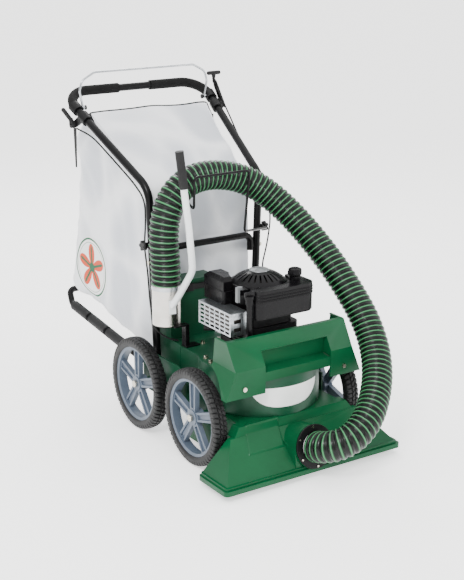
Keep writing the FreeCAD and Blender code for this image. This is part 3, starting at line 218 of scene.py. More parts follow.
def softened(node, width, material, segments=2, angle=32):
    # the node's own shape with its edges rounded as a mould or a press leaves them
    mesh = nodes[node].data.copy()
    mesh.name = node + "_shape"
    work = bmesh.new()
    work.from_mesh(mesh)
    bmesh.ops.remove_doubles(work, verts=work.verts, dist=2e-5)
    bmesh.ops.dissolve_degenerate(work, edges=work.edges, dist=2e-5)
    bmesh.ops.dissolve_limit(work, angle_limit=math.radians(1.2), verts=work.verts, edges=work.edges)
    work.to_mesh(mesh)
    work.free()
    mesh.materials.clear()
    mesh.materials.append(material)
    mesh.polygons.foreach_set("use_smooth", [True] * len(mesh.polygons))
    mesh.set_sharp_from_angle(angle=math.radians(34))
    piece = bpy.data.objects.new(node + "_shape", mesh)
    bpy.context.scene.collection.objects.link(piece)
    bevel = piece.modifiers.new("Edges", "BEVEL")
    bevel.width, bevel.segments = width, segments
    bevel.limit_method, bevel.angle_limit = "ANGLE", math.radians(angle)
    bevel.use_clamp_overlap = True
    bevel.harden_normals = True
    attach(piece, bodyOf(node))
    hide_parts(node)
    return piece


def applyModifiers(piece):
    done = bpy.data.meshes.new_from_object(piece.evaluated_get(bpy.context.evaluated_depsgraph_get()))
    piece.modifiers.clear()
    piece.data = done


def settle(piece, target, project=None, lift=None, toward=(0, 0, 1)):
    # lays a thin piece on another one's surface, then raises it by lift along one direction
    wrap = piece.modifiers.new("Lie", "SHRINKWRAP")
    wrap.target = target
    if project:
        wrap.wrap_method = "PROJECT"
        wrap.use_project_x, wrap.use_project_z = project[0] == "x", project[0] == "z"
        wrap.use_negative_direction, wrap.use_positive_direction = project[1] == "-", project[1] == "+"
    else:
        wrap.wrap_method = "NEAREST_SURFACEPOINT"
    applyModifiers(piece)
    co = np.zeros(len(piece.data.vertices) * 3)
    piece.data.vertices.foreach_get("co", co)
    co = co.reshape(-1, 3)
    if lift is not None:
        co += np.asarray(lift).reshape(-1, 1) * np.asarray(toward)
        piece.data.vertices.foreach_set("co", co.ravel())
        piece.data.update()
    return co


def snapLine(line, target):
    # a line's points moved to the nearest place on a surface
    mesh = bpy.data.meshes.new("snap")
    mesh.from_pydata(line.tolist(), [(i, i + 1) for i in range(len(line) - 1)], [])
    holder = bpy.data.objects.new("snap", mesh)
    bpy.context.scene.collection.objects.link(holder)
    placed = settle(holder, target).copy()
    bpy.data.objects.remove(holder)
    return placed


def lineTube(name, line, radius, body, material, around=10):
    points, faces = tubeMesh(line, radius, around)
    mesh = bpy.data.meshes.new(name)
    mesh.from_pydata(points.tolist(), [], faces)
    mesh.polygons.foreach_set("use_smooth", [True] * len(mesh.polygons))
    mesh.materials.append(material)
    fixNormals(mesh)
    piece = bpy.data.objects.new(name, mesh)
    bpy.context.scene.collection.objects.link(piece)
    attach(piece, body)
    return piece


def turned(name, centre, profile, body, material, around=64, ribs=0, ribDepth=0.0, axis="z"):
    # a profile of (radius, height) turned about an upright axis, with shallow ribs where radius is full
    profile = np.asarray(profile, float)
    turn = np.linspace(0, 2 * math.pi, around, endpoint=False)
    wave = 1 - ribDepth / profile[:, 0].max() * (np.cos(turn * ribs) < 0) if ribs else np.ones(around)
    full = (profile[:, 0] > profile[:, 0].max() * 0.97)[:, None]
    radius = profile[:, :1] * np.where(full, wave[None, :], 1)
    points = np.stack([centre[0] + radius * np.cos(turn), centre[1] + radius * np.sin(turn),
                       centre[2] + profile[:, 1:] * np.ones(around)], -1).reshape(-1, 3)
    faces = gridFaces(len(profile), around, wrapCols=True).tolist()
    faces += [list(range(around)), list(range(len(points) - around, len(points)))]
    mesh = bpy.data.meshes.new(name)
    mesh.from_pydata(points.tolist(), [], faces)
    mesh.polygons.foreach_set("use_smooth", [True] * len(mesh.polygons))
    fixNormals(mesh)
    mesh.set_sharp_from_angle(angle=math.radians(35))
    mesh.materials.append(material)
    piece = bpy.data.objects.new(name, mesh)
    bpy.context.scene.collection.objects.link(piece)
    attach(piece, body)
    return piece


def dress(material, *names):
    for name in names:
        mesh = nodes[name].data
        mesh.materials.clear()
        mesh.materials.append(material)


view = {"azimuth": -33.404, "elevation": 17.024, "distance": 3.9202, "target": (-0.0667, -0.262, 0.5071),
        "lens": 78.96}
azimuth, elevation = math.radians(view["azimuth"]), math.radians(view["elevation"])
back = Vector((math.sin(azimuth) * math.cos(elevation), -math.cos(azimuth) * math.cos(elevation),
               math.sin(elevation)))
camera = bpy.data.objects.new("Camera", bpy.data.cameras.new("Camera"))
bpy.context.scene.collection.objects.link(camera)
camera.location = Vector(view["target"]) + back * view["distance"]
camera.rotation_euler = (-back).to_track_quat("-Z", "Y").to_euler()
camera.data.sensor_fit, camera.data.sensor_height, camera.data.sensor_width = "VERTICAL", 36, 36
camera.data.lens = view["lens"]
bpy.context.scene.camera = camera

# bright overhead, dimmer near the horizon, so that dark parts keep their depth
studio = {"overhead": 2.6, "horizon": 0.75, "floor": "#F6F6F5"}
world = bpy.data.worlds.new("Studio")
bpy.context.scene.world = world
world.use_nodes = True
sky = world.node_tree
way = addNode(sky, "ShaderNodeTexCoord")
height = addNode(sky, "ShaderNodeSeparateXYZ", {}, {"Vector": (way, "Generated")})
glow = addNode(sky, "ShaderNodeMapRange", {"To Min": studio["horizon"], "To Max": studio["overhead"]},
               {"Value": (height, "Z")})
sky.links.new(glow.outputs["Result"], sky.nodes["Background"].inputs["Strength"])
sky.nodes["Background"].inputs["Color"].default_value = (1, 1, 1, 1)


def areaLight(name, spot, aim, size, power):
    lamp = bpy.data.lights.new(name, "AREA")
    lamp.shape, lamp.size, lamp.energy = "DISK", size, power
    holder = bpy.data.objects.new(name, lamp)
    holder.location = spot
    holder.rotation_euler = (Vector(aim) - Vector(spot)).to_track_quat("-Z", "Y").to_euler()
    bpy.context.scene.collection.objects.link(holder)


areaLight("KeyLight", (-2.4, -2.4, 3.4), (0, -0.2, 0.4), 1.2, 150)
areaLight("FillLight", (2.8, -2.6, 1.8), (0, -0.2, 0.4), 1.4, 26)
areaLight("RimLight", (1.2, 2.8, 2.8), (0, 0, 0.6), 1.4, 70)

floorMade, floorTree, floorShader = newMaterial("pale studio floor")
floorShader.inputs["Base Color"].default_value = hexColour(studio["floor"])
floorShader.inputs["Roughness"].default_value = 0.9
floorShader.inputs["Emission Color"].default_value = (1, 1, 1, 1)
floorShader.inputs["Emission Strength"].default_value = 1.0
floorSize, floorLevel = 30, -0.0005
floor = bpy.data.objects.new("Floor", bpy.data.meshes.new("Floor"))
floor.data.from_pydata([(-floorSize, -floorSize, floorLevel), (floorSize, -floorSize, floorLevel),
                        (floorSize, floorSize, floorLevel), (-floorSize, floorSize, floorLevel)], [],
                       [(0, 1, 2, 3)])
floor.data.materials.append(floorMade)
bpy.context.scene.collection.objects.link(floor)


# moulded polyethylene: even colour, faint orange-peel grain, soft wide highlights
greenPlastic = finish("moulded green polyethylene", "#034A2A", "#024023", mottle=0.16, grain=0.0016, bump=0.10,
                      rough=0.33, spread=0.05, spec=0.18)
# powder coat on pressed sheet: slightly darker, orange peel a few mm wide
greenCoat = finish("green powder coat", "#04422A", "#033721", mottle=0.12, grain=0.0030, bump=0.18, rough=0.42,
                   spread=0.06, spec=0.3)
# black powder coat on steel tube
blackCoat = finish("black powder coat", "#0B0B0C", "#060607", mottle=0.08, grain=0.0022, bump=0.16, rough=0.30,
                   spread=0.06, spec=0.16)
# glass-filled nylon: satin grey with a blue cast
greyNylon = finish("glass-filled nylon", "#566170", "#4A5563", mottle=0.05, grain=0.0010, bump=0.20, rough=0.42,
                   spread=0.07)
# ABS engine mouldings: nearly black, fine spark-eroded grain
blackAbs = finish("black ABS moulding", "#0B0A0C", "#070608", mottle=0.06, grain=0.0011, bump=0.2, rough=0.28,
                  spread=0.07, spec=0.15)
# cast aluminium under black engine paint
blackCasting = finish("painted aluminium casting", "#0D0D0E", "#08080A", mottle=0.03, grain=0.0016, bump=0.45,
                      rough=0.5, spread=0.10, spec=0.25)
greyAbs = finish("grey ABS moulding", "#6E7072", "#5F6163", mottle=0.05, grain=0.0011, bump=0.2, rough=0.42)
# zinc plate: bright with a warm cast and cloudy gloss
zincPlate = finish("zinc plate", "#D9D4C6", "#B9B3A2", mottle=0.012, grain=0.0007, bump=0.1, rough=0.24,
                   spread=0.1, metal=1.0)
# drawn stainless tube, polished round its girth: fine lines lie across the axis
polishedTube = finish("polished stainless tube", "#D2CEC8", "#BEB9B2", mottle=0.08, grain=0.05, bump=0.06,
                      rough=0.22, spread=0.06, metal=1.0, stretch=(1, 1, 60))
galvanised = finish("galvanised sheet", "#B9BDC0", "#8F9499", mottle=0.010, grain=0.0025, bump=0.15, rough=0.34,
                    spread=0.12, metal=1.0)
brightWire = finish("drawn bright wire", "#C4C7CA", "#A8ABAF", mottle=0.02, grain=0.002, bump=0.08, rough=0.25,
                    spread=0.06, metal=1.0)
# stove enamel on the lift bar
whiteEnamel = finish("white stove enamel", "#E9ECEC", "#DCE0E1", mottle=0.05, grain=0.0025, bump=0.08, rough=0.28,
                     spread=0.05, coat=0.3)
# closed-cell foam: matt, pitted at about a millimetre
blackFoam = finish("nitrile foam", "#0A0A0A", "#060606", mottle=0.03, grain=0.0012, bump=0.6, rough=0.86,
                   spread=0.06, spec=0.25)
blackNylon = finish("black nylon moulding", "#0B0B0C", "#070708", mottle=0.04, grain=0.0010, bump=0.2, rough=0.42,
                    spread=0.08, spec=0.2)
blackRubber = finish("black rubber", "#0F0F10", "#0A0A0B", mottle=0.03, grain=0.0013, bump=0.35, rough=0.68,
                     spread=0.08, spec=0.35)
darkSteel = finish("heat-stained steel", "#6B6660", "#4B4743", mottle=0.02, grain=0.0015, bump=0.3, rough=0.45,
                   spread=0.12, metal=1.0)
greyPlate = finish("anodised plate", "#8D9092", "#77797B", mottle=0.02, grain=0.0010, bump=0.1, rough=0.35,
                   metal=0.6)
blankLabel = finish("blank vinyl label", "#EEF0EE", "#E4E7E4", mottle=0.06, grain=0.0020, bump=0.05, rough=0.35,
                    spread=0.04)

# nodes shown as they are; the rest are dressed where their covers are made
dress(blackCoat, "handle_frame", "handle_cross_tube", "bag_carrier", "hose_hanger")
dress(zincPlate, "panel_screws", "handle_bolts", "deck_bolts", "wheel_axles")
dress(darkSteel, "crankshaft", "impeller")
dress(blackCasting, "carburettor", "spark_plug")
dress(blackAbs, "oil_filler_tube")
dress(polishedTube, "wand_tube")
dress(brightWire, "bail", "hose_clamp")
dress(whiteEnamel, "wand_handle")
dress(blackFoam, "foam_grips")
dress(blackRubber, "wand_grip", "starter_cord", "control_cable", "drive_lever", "starter_grip", "bag_webbing")
print("finishes ready")


covers = {"floor_nozzle": (0.006, greenPlastic), "front_shroud": (0.007, greenPlastic),
          "exhaust_duct": (0.0025, greenCoat), "impeller_housing": (0.0015, greenCoat),
          "housing_deck": (0.0012, greenCoat), "chassis_frame": (0.0012, greenCoat),
          "fuel_tank": (0.010, blackAbs), "blower_housing": (0.004, blackAbs),
          "recoil_screen": (0.0010, blackAbs), "air_cleaner": (0.005, blackAbs),
          "crankcase": (0.003, blackCasting), "muffler": (0.004, darkSteel),
          "muffler_guard": (0.0005, galvanised), "lever_bracket": (0.0015, blackNylon),
          "starter_bracket": (0.0015, blackNylon), "bail_pivots": (0.0015, blackNylon),
          "handle_knob_left": (0.002, blackNylon), "handle_knob_right": (0.002, blackNylon),
          "wand_bracket": (0.002, blackCoat), "oil_dipstick": (0.0015, blackAbs),
          "choke_lever": (0.0012, greyAbs), "duct_latch_strap": (0.0015, blackRubber),
          "axle_caps": (0.0015, zincPlate), "hose_port_flange": (0.0015, blackNylon)}
shaped = {node: softened(node, width, material) for node, (width, material) in covers.items()}
print("covers softened:", len(covers))


hose = {"radius": 0.0475, "pitch": 0.0175, "ridge": 0.0016, "dip": 0.0017, "samples": 12,
        "around": 40}
portAxis = np.array([0, -math.cos(math.radians(14)), math.sin(math.radians(14))])
hoseStart = np.array([0, -0.607, 0.096]) + portAxis * 0.006
hoseRoute = [tuple(hoseStart), tuple(hoseStart + portAxis * 0.038),
             (0.024, -0.694, 0.124), (0.072, -0.710, 0.148), (0.133, -0.694, 0.184), (0.194, -0.650, 0.226),
             (0.247, -0.596, 0.276), (0.284, -0.532, 0.338), (0.295, -0.464, 0.411), (0.286, -0.396, 0.482),
             (0.268, -0.318, 0.562), (0.240, -0.240, 0.638), (0.206, -0.178, 0.702), (0.164, -0.130, 0.755),
             (0.104, -0.097, 0.801), (0.030, -0.079, 0.826), (-0.052, -0.076, 0.833), (-0.121, -0.079, 0.818),
             (-0.173, -0.085, 0.778), (-0.201, -0.091, 0.721), (-0.211, -0.095, 0.643), (-0.204, -0.096, 0.568),
             (-0.204, -0.096, 0.508)]


def hoseMaterial():
    # PVC wall drawn over a hard helix: glossy black wall, pale green helix showing through
    made, tree, shader = newMaterial("PVC helix hose")
    ridge = addNode(tree, "ShaderNodeAttribute", {"attribute_name": "ridge"})
    place = addNode(tree, "ShaderNodeTexCoord")
    slow = addNode(tree, "ShaderNodeTexNoise", {"Scale": 30.0, "Detail": 3.0}, {"Vector": (place, "Object")})
    wall = addNode(tree, "ShaderNodeMix", {"data_type": "RGBA", 6: hexColour("#040605"), 7: hexColour("#0A100C")},
                   {0: (slow, "Fac")})
    helix = addNode(tree, "ShaderNodeMix", {"data_type": "RGBA", 6: hexColour("#357A4B"), 7: hexColour("#4A8F5E")},
                    {0: (slow, "Fac")})
    tone = addNode(tree, "ShaderNodeMix", {"data_type": "RGBA"}, {0: (ridge, "Fac"), 6: (wall, 2), 7: (helix, 2)})
    tree.links.new(tone.outputs[2], shader.inputs["Base Color"])
    gloss = addNode(tree, "ShaderNodeMapRange", {"To Min": 0.22, "To Max": 0.34}, {"Value": (slow, "Fac")})
    tree.links.new(gloss.outputs["Result"], shader.inputs["Roughness"])
    shader.inputs["Specular IOR Level"].default_value = 0.22
    return made


def makeHose():
    # radius = wall, dipped between turns, plus a narrow helix ridge once per pitch
    line, length = smoothLine(hoseRoute, hose["pitch"] / hose["samples"])
    count, around = len(line), hose["around"]
    run = np.linspace(0, length, count)[:, None] / hose["pitch"]
    turn = np.arange(around)[None, :] / around
    phase = (run + turn) % 1.0
    offset = np.abs(phase - 0.5)
    ridge = np.clip(1.25 - offset / 0.11, 0, 1)
    crest = ridge ** 0.6
    wall = -hose["dip"] * np.cos(2 * math.pi * np.clip((0.5 - offset) / 0.5, 0, 1)) - hose["dip"]
    radius = hose["radius"] - hose["ridge"] + crest * hose["ridge"] + np.where(ridge > 0, 0, wall)
    points, faces = tubeMesh(line, radius, around)
    mesh = bpy.data.meshes.new("suction_hose_helix")
    mesh.from_pydata(points.tolist(), [], faces)
    mesh.polygons.foreach_set("use_smooth", [True] * len(mesh.polygons))
    mark = mesh.attributes.new("ridge", "FLOAT", "POINT")
    mark.data.foreach_set("value", ridge.ravel().astype(np.float32))
    fixNormals(mesh)
    piece = bpy.data.objects.new("suction_hose_helix", mesh)
    bpy.context.scene.collection.objects.link(piece)
    mesh.materials.append(hoseMaterial())
    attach(piece, "chassis")
    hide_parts("suction_hose")
    return length


print("hose length", round(makeHose(), 3))


bag = {"voxel": 0.012, "pressure": 1.6, "frames": 18, "cap": 0.016, "inset": 0.009, "pull": 0.028,
       "creases": [((1.0, 0.25, 0.10), 0.210, 0.0060, 0.4), ((0.35, 1.0, 0.18), 0.240, 0.0065, 1.9),
                   ((0.55, -0.5, 0.75), 0.290, 0.0055, 0.9), ((-0.45, 0.5, 0.80), 0.330, 0.0050, 2.6),
                   ((0.80, 0.7, -0.25), 0.130, 0.0022, 1.2)]}


def feltMaterial():
    # needled polyester felt: matt white, faint grey clouds, painted shade in the crease valleys, fibre fuzz at
    # about a millimetre
    made, tree, shader = newMaterial("needled polyester felt")
    place = addNode(tree, "ShaderNodeTexCoord")
    cloud = addNode(tree, "ShaderNodeTexNoise", {"Scale": 5.0, "Detail": 5.0, "Roughness": 0.6},
                    {"Vector": (place, "Object")})
    tone = addNode(tree, "ShaderNodeMix", {"data_type": "RGBA", 6: hexColour("#EFF0F2"), 7: hexColour("#E4E6EA")},
                   {0: (cloud, "Fac")})
    # painted shade: the felt turns a darker grey (#C3C7CE) in the crease valleys, standing in for the shadow there
    paintedFoldShade = addNode(tree, "ShaderNodeAttribute", {"attribute_name": "paintedFoldShade"})
    paintedCreaseShade = addNode(tree, "ShaderNodeMix", {"data_type": "RGBA", 7: hexColour("#C3C7CE")},
                    {0: (paintedFoldShade, "Fac"), 6: (tone, 2)})
    tree.links.new(paintedCreaseShade.outputs[2], shader.inputs["Base Color"])
    fibre = addNode(tree, "ShaderNodeTexNoise", {"Scale": 700.0, "Detail": 4.0, "Roughness": 0.7},
                    {"Vector": (place, "Object")})
    crease = addNode(tree, "ShaderNodeTexNoise", {"Scale": 9.0, "Detail": 3.0, "Distortion": 0.6},
                     {"Vector": (place, "Object")})
    soft = addNode(tree, "ShaderNodeBump", {"Strength": 0.5, "Distance": 0.02}, {"Height": (crease, "Fac")})
    fuzz = addNode(tree, "ShaderNodeBump", {"Strength": 0.25, "Distance": 0.0006},
                   {"Height": (fibre, "Fac"), "Normal": (soft, "Normal")})
    tree.links.new(fuzz.outputs["Normal"], shader.inputs["Normal"])
    shader.inputs["Roughness"].default_value = 0.9
    shader.inputs["Sheen Weight"].default_value = 0.25
    shader.inputs["Specular IOR Level"].default_value = 0.25
    return made


felt = feltMaterial()


def makeBag():
    mesh = nodes["bag"].data.copy()
    mesh.name = "felt_bag"
    fixNormals(mesh, merge=2e-5)
    piece = bpy.data.objects.new("felt_bag", mesh)
    bpy.context.scene.collection.objects.link(piece)
    remesh = piece.modifiers.new("Remesh", "REMESH")
    remesh.mode, remesh.voxel_size = "VOXEL", bag["voxel"]
    shrink = piece.modifiers.new("Inset", "DISPLACE")
    shrink.strength, shrink.mid_level = -bag["inset"], 0
    applyModifiers(piece)
    count = len(piece.data.vertices)
    rest = np.zeros(count * 3)
    piece.data.vertices.foreach_get("co", rest)
    rest = rest.reshape(-1, 3)
    low, high = rest.min(0), rest.max(0)
    held = piece.vertex_groups.new(name="held")
    top = (rest[:, 2] > high[2] - 0.03) | (rest[:, 2] < low[2] + 0.03) | (rest[:, 1] < low[1] + 0.012)
    held.add(np.nonzero(top)[0].tolist(), 1.0, "REPLACE")
    cloth = piece.modifiers.new("Cloth", "CLOTH")
    cloth.settings.quality = 4
    cloth.settings.mass = 0.3
    cloth.settings.use_pressure = True
    cloth.settings.uniform_pressure_force = bag["pressure"]
    cloth.settings.vertex_group_mass = "held"
    cloth.settings.tension_stiffness = cloth.settings.compression_stiffness = 8
    cloth.settings.bending_stiffness = 2.5
    cloth.settings.effector_weights.gravity = 0
    cloth.collision_settings.use_self_collision = False
    scene = bpy.context.scene
    for step in range(1, bag["frames"] + 1):
        scene.frame_set(step)
    applyModifiers(piece)
    scene.frame_set(1)
    now = np.zeros(count * 3)
    piece.data.vertices.foreach_get("co", now)
    now = now.reshape(-1, 3)
    shift = now - rest
    size = np.linalg.norm(shift, axis=1)
    shift *= np.minimum(1, bag["cap"] / np.maximum(size, 1e-9))[:, None]
    now = rest + shift
    # folds run down from the hem and fan out; they fade near the floor of the bag
    share = (now[:, 2] - low[2]) / (high[2] - low[2])
    normals = np.zeros(count * 3)
    piece.data.vertices.foreach_get("normal", normals)
    normals = normals.reshape(-1, 3)
    # ridged sine waves give soft creases: direction (x, y, z), wavelength and height in metres, then phase
    depth = np.zeros(count)
    for direction, wave, tall, phase in bag["creases"]:
        run = (now @ np.array(direction)) / wave * math.pi + phase
        run += 0.55 * np.sin(now[:, 2] * 9 + phase * 2) + 0.4 * np.sin((now[:, 0] - now[:, 1]) * 11 + phase)
        depth += tall * ((1 - np.abs(np.sin(run))) ** 2 - 0.3)
    sag = -0.008 * np.sin(np.clip(share, 0, 1) * math.pi) * np.cos(now[:, 0] / 0.194 * math.pi / 2)
    now += normals * (depth * np.clip(share * 4, 0.15, 1) + sag * (normals[:, 1] < -0.3))[:, None]
    # the hem's hooks pull the top back and outward; the sides belly a little above the rails
    upper = np.clip((now[:, 2] - 0.74) / 0.24, 0, 1)
    upper = upper * upper * (3 - 2 * upper)
    belly = np.clip((now[:, 2] - 0.29) / 0.08, 0, 1) * np.clip((0.80 - now[:, 2]) / 0.3, 0, 1)
    forward = np.clip((0.50 - now[:, 1]) / 0.20, 0, 1)
    now[:, 0] *= 1 + 0.12 * upper + 0.12 * upper ** 3 + 0.045 * belly
    now[:, 1] += bag["pull"] * upper * forward
    now[:, 2] += 0.008 * upper * forward
    # painted shade: the crease valleys get a mask that darkens the felt there, in place of their shadow
    mark = piece.data.attributes.new("paintedFoldShade", "FLOAT", "POINT")
    mark.data.foreach_set("value", np.clip(-depth / 0.007 + 0.15, 0, 1).astype(np.float32))
    piece.data.vertices.foreach_set("co", now.ravel())
    piece.data.materials.clear()
    piece.data.materials.append(felt)
    piece.data.polygons.foreach_set("use_smooth", [True] * len(piece.data.polygons))
    smooth = piece.modifiers.new("Relax", "CORRECTIVE_SMOOTH")
    smooth.factor, smooth.iterations, smooth.use_only_smooth = 0.5, 6, True
    level = piece.modifiers.new("Fine", "SUBSURF")
    level.levels = level.render_levels = 1
    applyModifiers(piece)
    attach(piece, "chassis")
    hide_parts("bag")
    return piece


bagPiece = makeBag()
print("bag ready:", len(bagPiece.data.polygons), "faces")


# metres: crown is its half width, crownDrop its camber, wallDrop where the side wall starts below the crown
tyre = {"outer": 0.1525, "seat": 0.1215, "half": 0.0225, "blocks": 60, "tread": 0.0045, "crown": 0.0165,
        "shoulder": 0.006, "crownDrop": 0.0022, "shoulderDrop": 0.010, "wallDrop": 0.0122}


def tyreMaterial():
    # tread rubber: dark and dull
    return finish("tread rubber", "#101011", "#0A0A0B", mottle=0.02, grain=0.0010, bump=0.4, rough=0.55,
                  spread=0.08, spec=0.4)


treadRubber = tyreMaterial()


def makeTyre(name, centre, outward):
    # a ring of the tyre's section; shoulder blocks and zigzag grooves are pressed into its crown
    turns, across = 648, 46
    angle = np.linspace(0, 2 * math.pi, turns, endpoint=False)[:, None]
    s = np.linspace(-1, 1, across)[None, :]
    # the section: flat crown for |s| < 0.5, round shoulder to 0.66, side wall to 1
    t = np.abs(s)
    outer, rounded = tyre["outer"], (t - 0.5) / 0.16 * math.pi / 2
    x = np.where(t < 0.5, t / 0.5 * tyre["crown"],
                 np.where(t < 0.66, tyre["crown"] + tyre["shoulder"] * np.sin(rounded),
                          tyre["half"] - 0.0038 * np.clip((t - 0.86) / 0.14, 0, 1) ** 2))
    r = np.where(t < 0.5, outer - tyre["crownDrop"] * (t / 0.5) ** 2,
                 np.where(t < 0.66, outer - tyre["crownDrop"] - tyre["shoulderDrop"] * (1 - np.cos(rounded)),
                          outer - tyre["wallDrop"] - (t - 0.66) / 0.34 * (outer - tyre["wallDrop"] - tyre["seat"])))
    bead = 0.0012 * np.exp(-((t - 0.80) / 0.018) ** 2)
    zig = (angle / (2 * math.pi) * tyre["blocks"] + 0.33 * np.sign(s) * (t / 0.5) + 0.25 * (s > 0)) % 1
    lug = np.clip((np.abs(zig - 0.5) - 0.09) / 0.05, 0, 1)
    centreGroove = np.clip((np.abs(t - 0.17) - 0.025) / 0.03, 0, 1)
    onCrown = t < 0.62
    depth = np.where(onCrown, (1 - np.minimum(lug, np.where(t < 0.5, centreGroove, 1))) * tyre["tread"], 0)
    sideLug = np.where((t >= 0.62) & (t < 0.72), (1 - lug) * 0.0016, 0)
    radial = r - depth
    sideways = np.sign(s) * (x + bead - sideLug) * np.ones_like(angle)
    points = np.stack([centre[0] + outward * sideways, centre[1] + radial * np.cos(angle),
                       centre[2] + radial * np.sin(angle)], -1).reshape(-1, 3)
    # the bore closes the ring between its two beads
    faces = gridFaces(turns, across, wrapRows=True, wrapCols=True)
    piece = newPiece(name + "_tread", points, faces, bodyOf(name), treadRubber)
    fixNormals(piece.data)
    piece.data.set_sharp_from_angle(angle=math.radians(38))
    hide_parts(name)


for end in ("front", "rear"):
    for sideName, outward in (("left", -1), ("right", 1)):
        low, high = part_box(f"tyre_{end}_{sideName}")
        makeTyre(f"tyre_{end}_{sideName}", (low + high) / 2, outward)
        softened(f"rim_{end}_{sideName}", 0.0016, greyNylon)
print("wheels ready")


label = {"radius": 0.1906, "centre": -5, "half": 37, "top": 0.257, "drop": 0.064}


def makeDrumLabel():
    # half an oval bent round the drum, straight along its top edge
    u = np.linspace(-1, 1, 61)[:, None]
    v = np.linspace(0, 1, 25)[None, :]
    angle = np.radians(label["centre"] + label["half"] * u) * np.ones_like(v)
    z = label["top"] - v * label["drop"] * np.clip(1 - np.abs(u) ** 3, 0, 1) ** 0.6
    centre = (0, -0.311)
    points = np.stack([centre[0] + label["radius"] * np.sin(angle),
                       centre[1] - label["radius"] * np.cos(angle), z], -1)
    piece = newPiece("drum_label", points.reshape(-1, 3), gridFaces(61, 25), "chassis",
                     blankLabel)
    fixNormals(piece.data, merge=1e-5)
    solid = piece.modifiers.new("Thickness", "SOLIDIFY")
    solid.thickness, solid.offset = 0.0004, 0
    return piece


makeDrumLabel()


badge = {"y": 0.403, "z": 0.443, "radius": 0.108, "lift": 0.0012}


def makeBagBadge():
    # a printed round patch: green ring, five red-orange petals with green veins, on the bag's left side
    rings, turns = 64, 200
    r = np.linspace(0.004, 1, rings)[:, None] * np.ones(turns)
    a = np.linspace(0, 2 * math.pi, turns, endpoint=False)[None, :] * np.ones((rings, 1))
    points = np.stack([np.full(r.shape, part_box("bag")[0][0] - 0.05), badge["y"] + badge["radius"] * r * np.cos(a),
                       badge["z"] + badge["radius"] * r * np.sin(a)], -1).reshape(-1, 3)
    faces = gridFaces(rings, turns, wrapCols=True).tolist() + [list(range(turns))]
    made, tree, shader = newMaterial("screen print on felt")
    ink = addNode(tree, "ShaderNodeAttribute", {"attribute_name": "ink"})
    place = addNode(tree, "ShaderNodeTexCoord")
    fibre = addNode(tree, "ShaderNodeTexNoise", {"Scale": 600.0, "Detail": 3.0}, {"Vector": (place, "Object")})
    worn = addNode(tree, "ShaderNodeMix", {"data_type": "RGBA", "blend_type": "MULTIPLY", 0: 0.25},
                   {6: (ink, "Color"), 7: (fibre, "Color")})
    fuzz = addNode(tree, "ShaderNodeBump", {"Strength": 0.25, "Distance": 0.0005}, {"Height": (fibre, "Fac")})
    tree.links.new(worn.outputs[2], shader.inputs["Base Color"])
    tree.links.new(fuzz.outputs["Normal"], shader.inputs["Normal"])
    shader.inputs["Roughness"].default_value = 0.7
    piece = newPiece("bag_badge", points, faces, "chassis", made)
    fixNormals(piece.data)
    edge = np.clip((1 - r) / 0.03, 0, 1)
    settle(piece, bagPiece, project="x+", lift=badge["lift"] * edge + 0.0002, toward=(-1, 0, 0))
    white, green, red = (np.array(hexColour(c)) for c in ("#F4F4F2", "#0E5A3A", "#D2451E"))
    turnTo = a - math.pi / 2
    petal = r < 0.18 + 0.60 * np.abs(np.cos(2.5 * turnTo)) ** 1.2
    vein = np.abs(np.sin(2.5 * turnTo)) < 0.10 / np.maximum(r, 0.12)
    ring = ((r > 0.90) & (r < 0.955)) | ((r > 0.80) & (r < 0.815))
    colour = np.where(petal[..., None], red, white)
    colour = np.where((petal & vein & (r < 0.7))[..., None], green, colour)
    colour = np.where(((r < 0.16) | ring)[..., None], green, colour)
    ink = piece.data.attributes.new("ink", "FLOAT_COLOR", "POINT")
    ink.data.foreach_set("color", colour.reshape(-1, 4).astype(np.float32).ravel())
    solid = piece.modifiers.new("Thickness", "SOLIDIFY")
    solid.thickness, solid.offset = 0.0008, -1
    return piece


makeBagBadge()

# the hem's black cord waves a little along the top, and white welts run down the bag's front and rear corners
hemRoute = [(-0.228, 0.290, 0.935), (-0.232, 0.335, 0.975), (-0.222, 0.352, 1.005), (-0.140, 0.352, 0.992),
            (-0.065, 0.354, 1.004), (0.000, 0.352, 0.993), (0.065, 0.354, 1.003), (0.140, 0.352, 0.992),
            (0.222, 0.352, 1.005), (0.232, 0.335, 0.975), (0.228, 0.290, 0.935)]
hemLine = snapLine(smoothLine(hemRoute, 0.004)[0], bagPiece)
hemCord = lineTube("bag_hem_cord", hemLine, 0.0038, "chassis", blackRubber)
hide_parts("bag_hem_rod")
for side in (-1, 1):
    edgeRoute = [(side * 0.225, 0.350, 0.992), (side * 0.202, 0.180, 0.897), (side * 0.192, 0.040, 0.806),
                 (side * 0.190, 0.022, 0.700), (side * 0.190, 0.022, 0.450), (side * 0.190, 0.022, 0.250)]
    welt = snapLine(smoothLine(edgeRoute, 0.006)[0], bagPiece)
    lineTube(f"bag_welt_{'left' if side < 0 else 'right'}", welt, 0.0018, "chassis", felt)
    rearRoute = [(side * 0.225, 0.352, 0.992), (side * 0.200, 0.526, 0.884), (side * 0.190, 0.575, 0.600),
                 (side * 0.190, 0.614, 0.345)]
    rearWelt = snapLine(smoothLine(rearRoute, 0.006)[0], bagPiece)
    lineTube(f"bag_rear_welt_{'left' if side < 0 else 'right'}", rearWelt, 0.0018, "chassis", felt)
print("bag trimmed")

# nozzle panel: a raised trapezoid moulded into the slope left of the hose port
panel = {"corners": [(-0.172, -0.486), (-0.055, -0.486), (-0.071, -0.556), (-0.201, -0.556)], "lift": 0.0034}


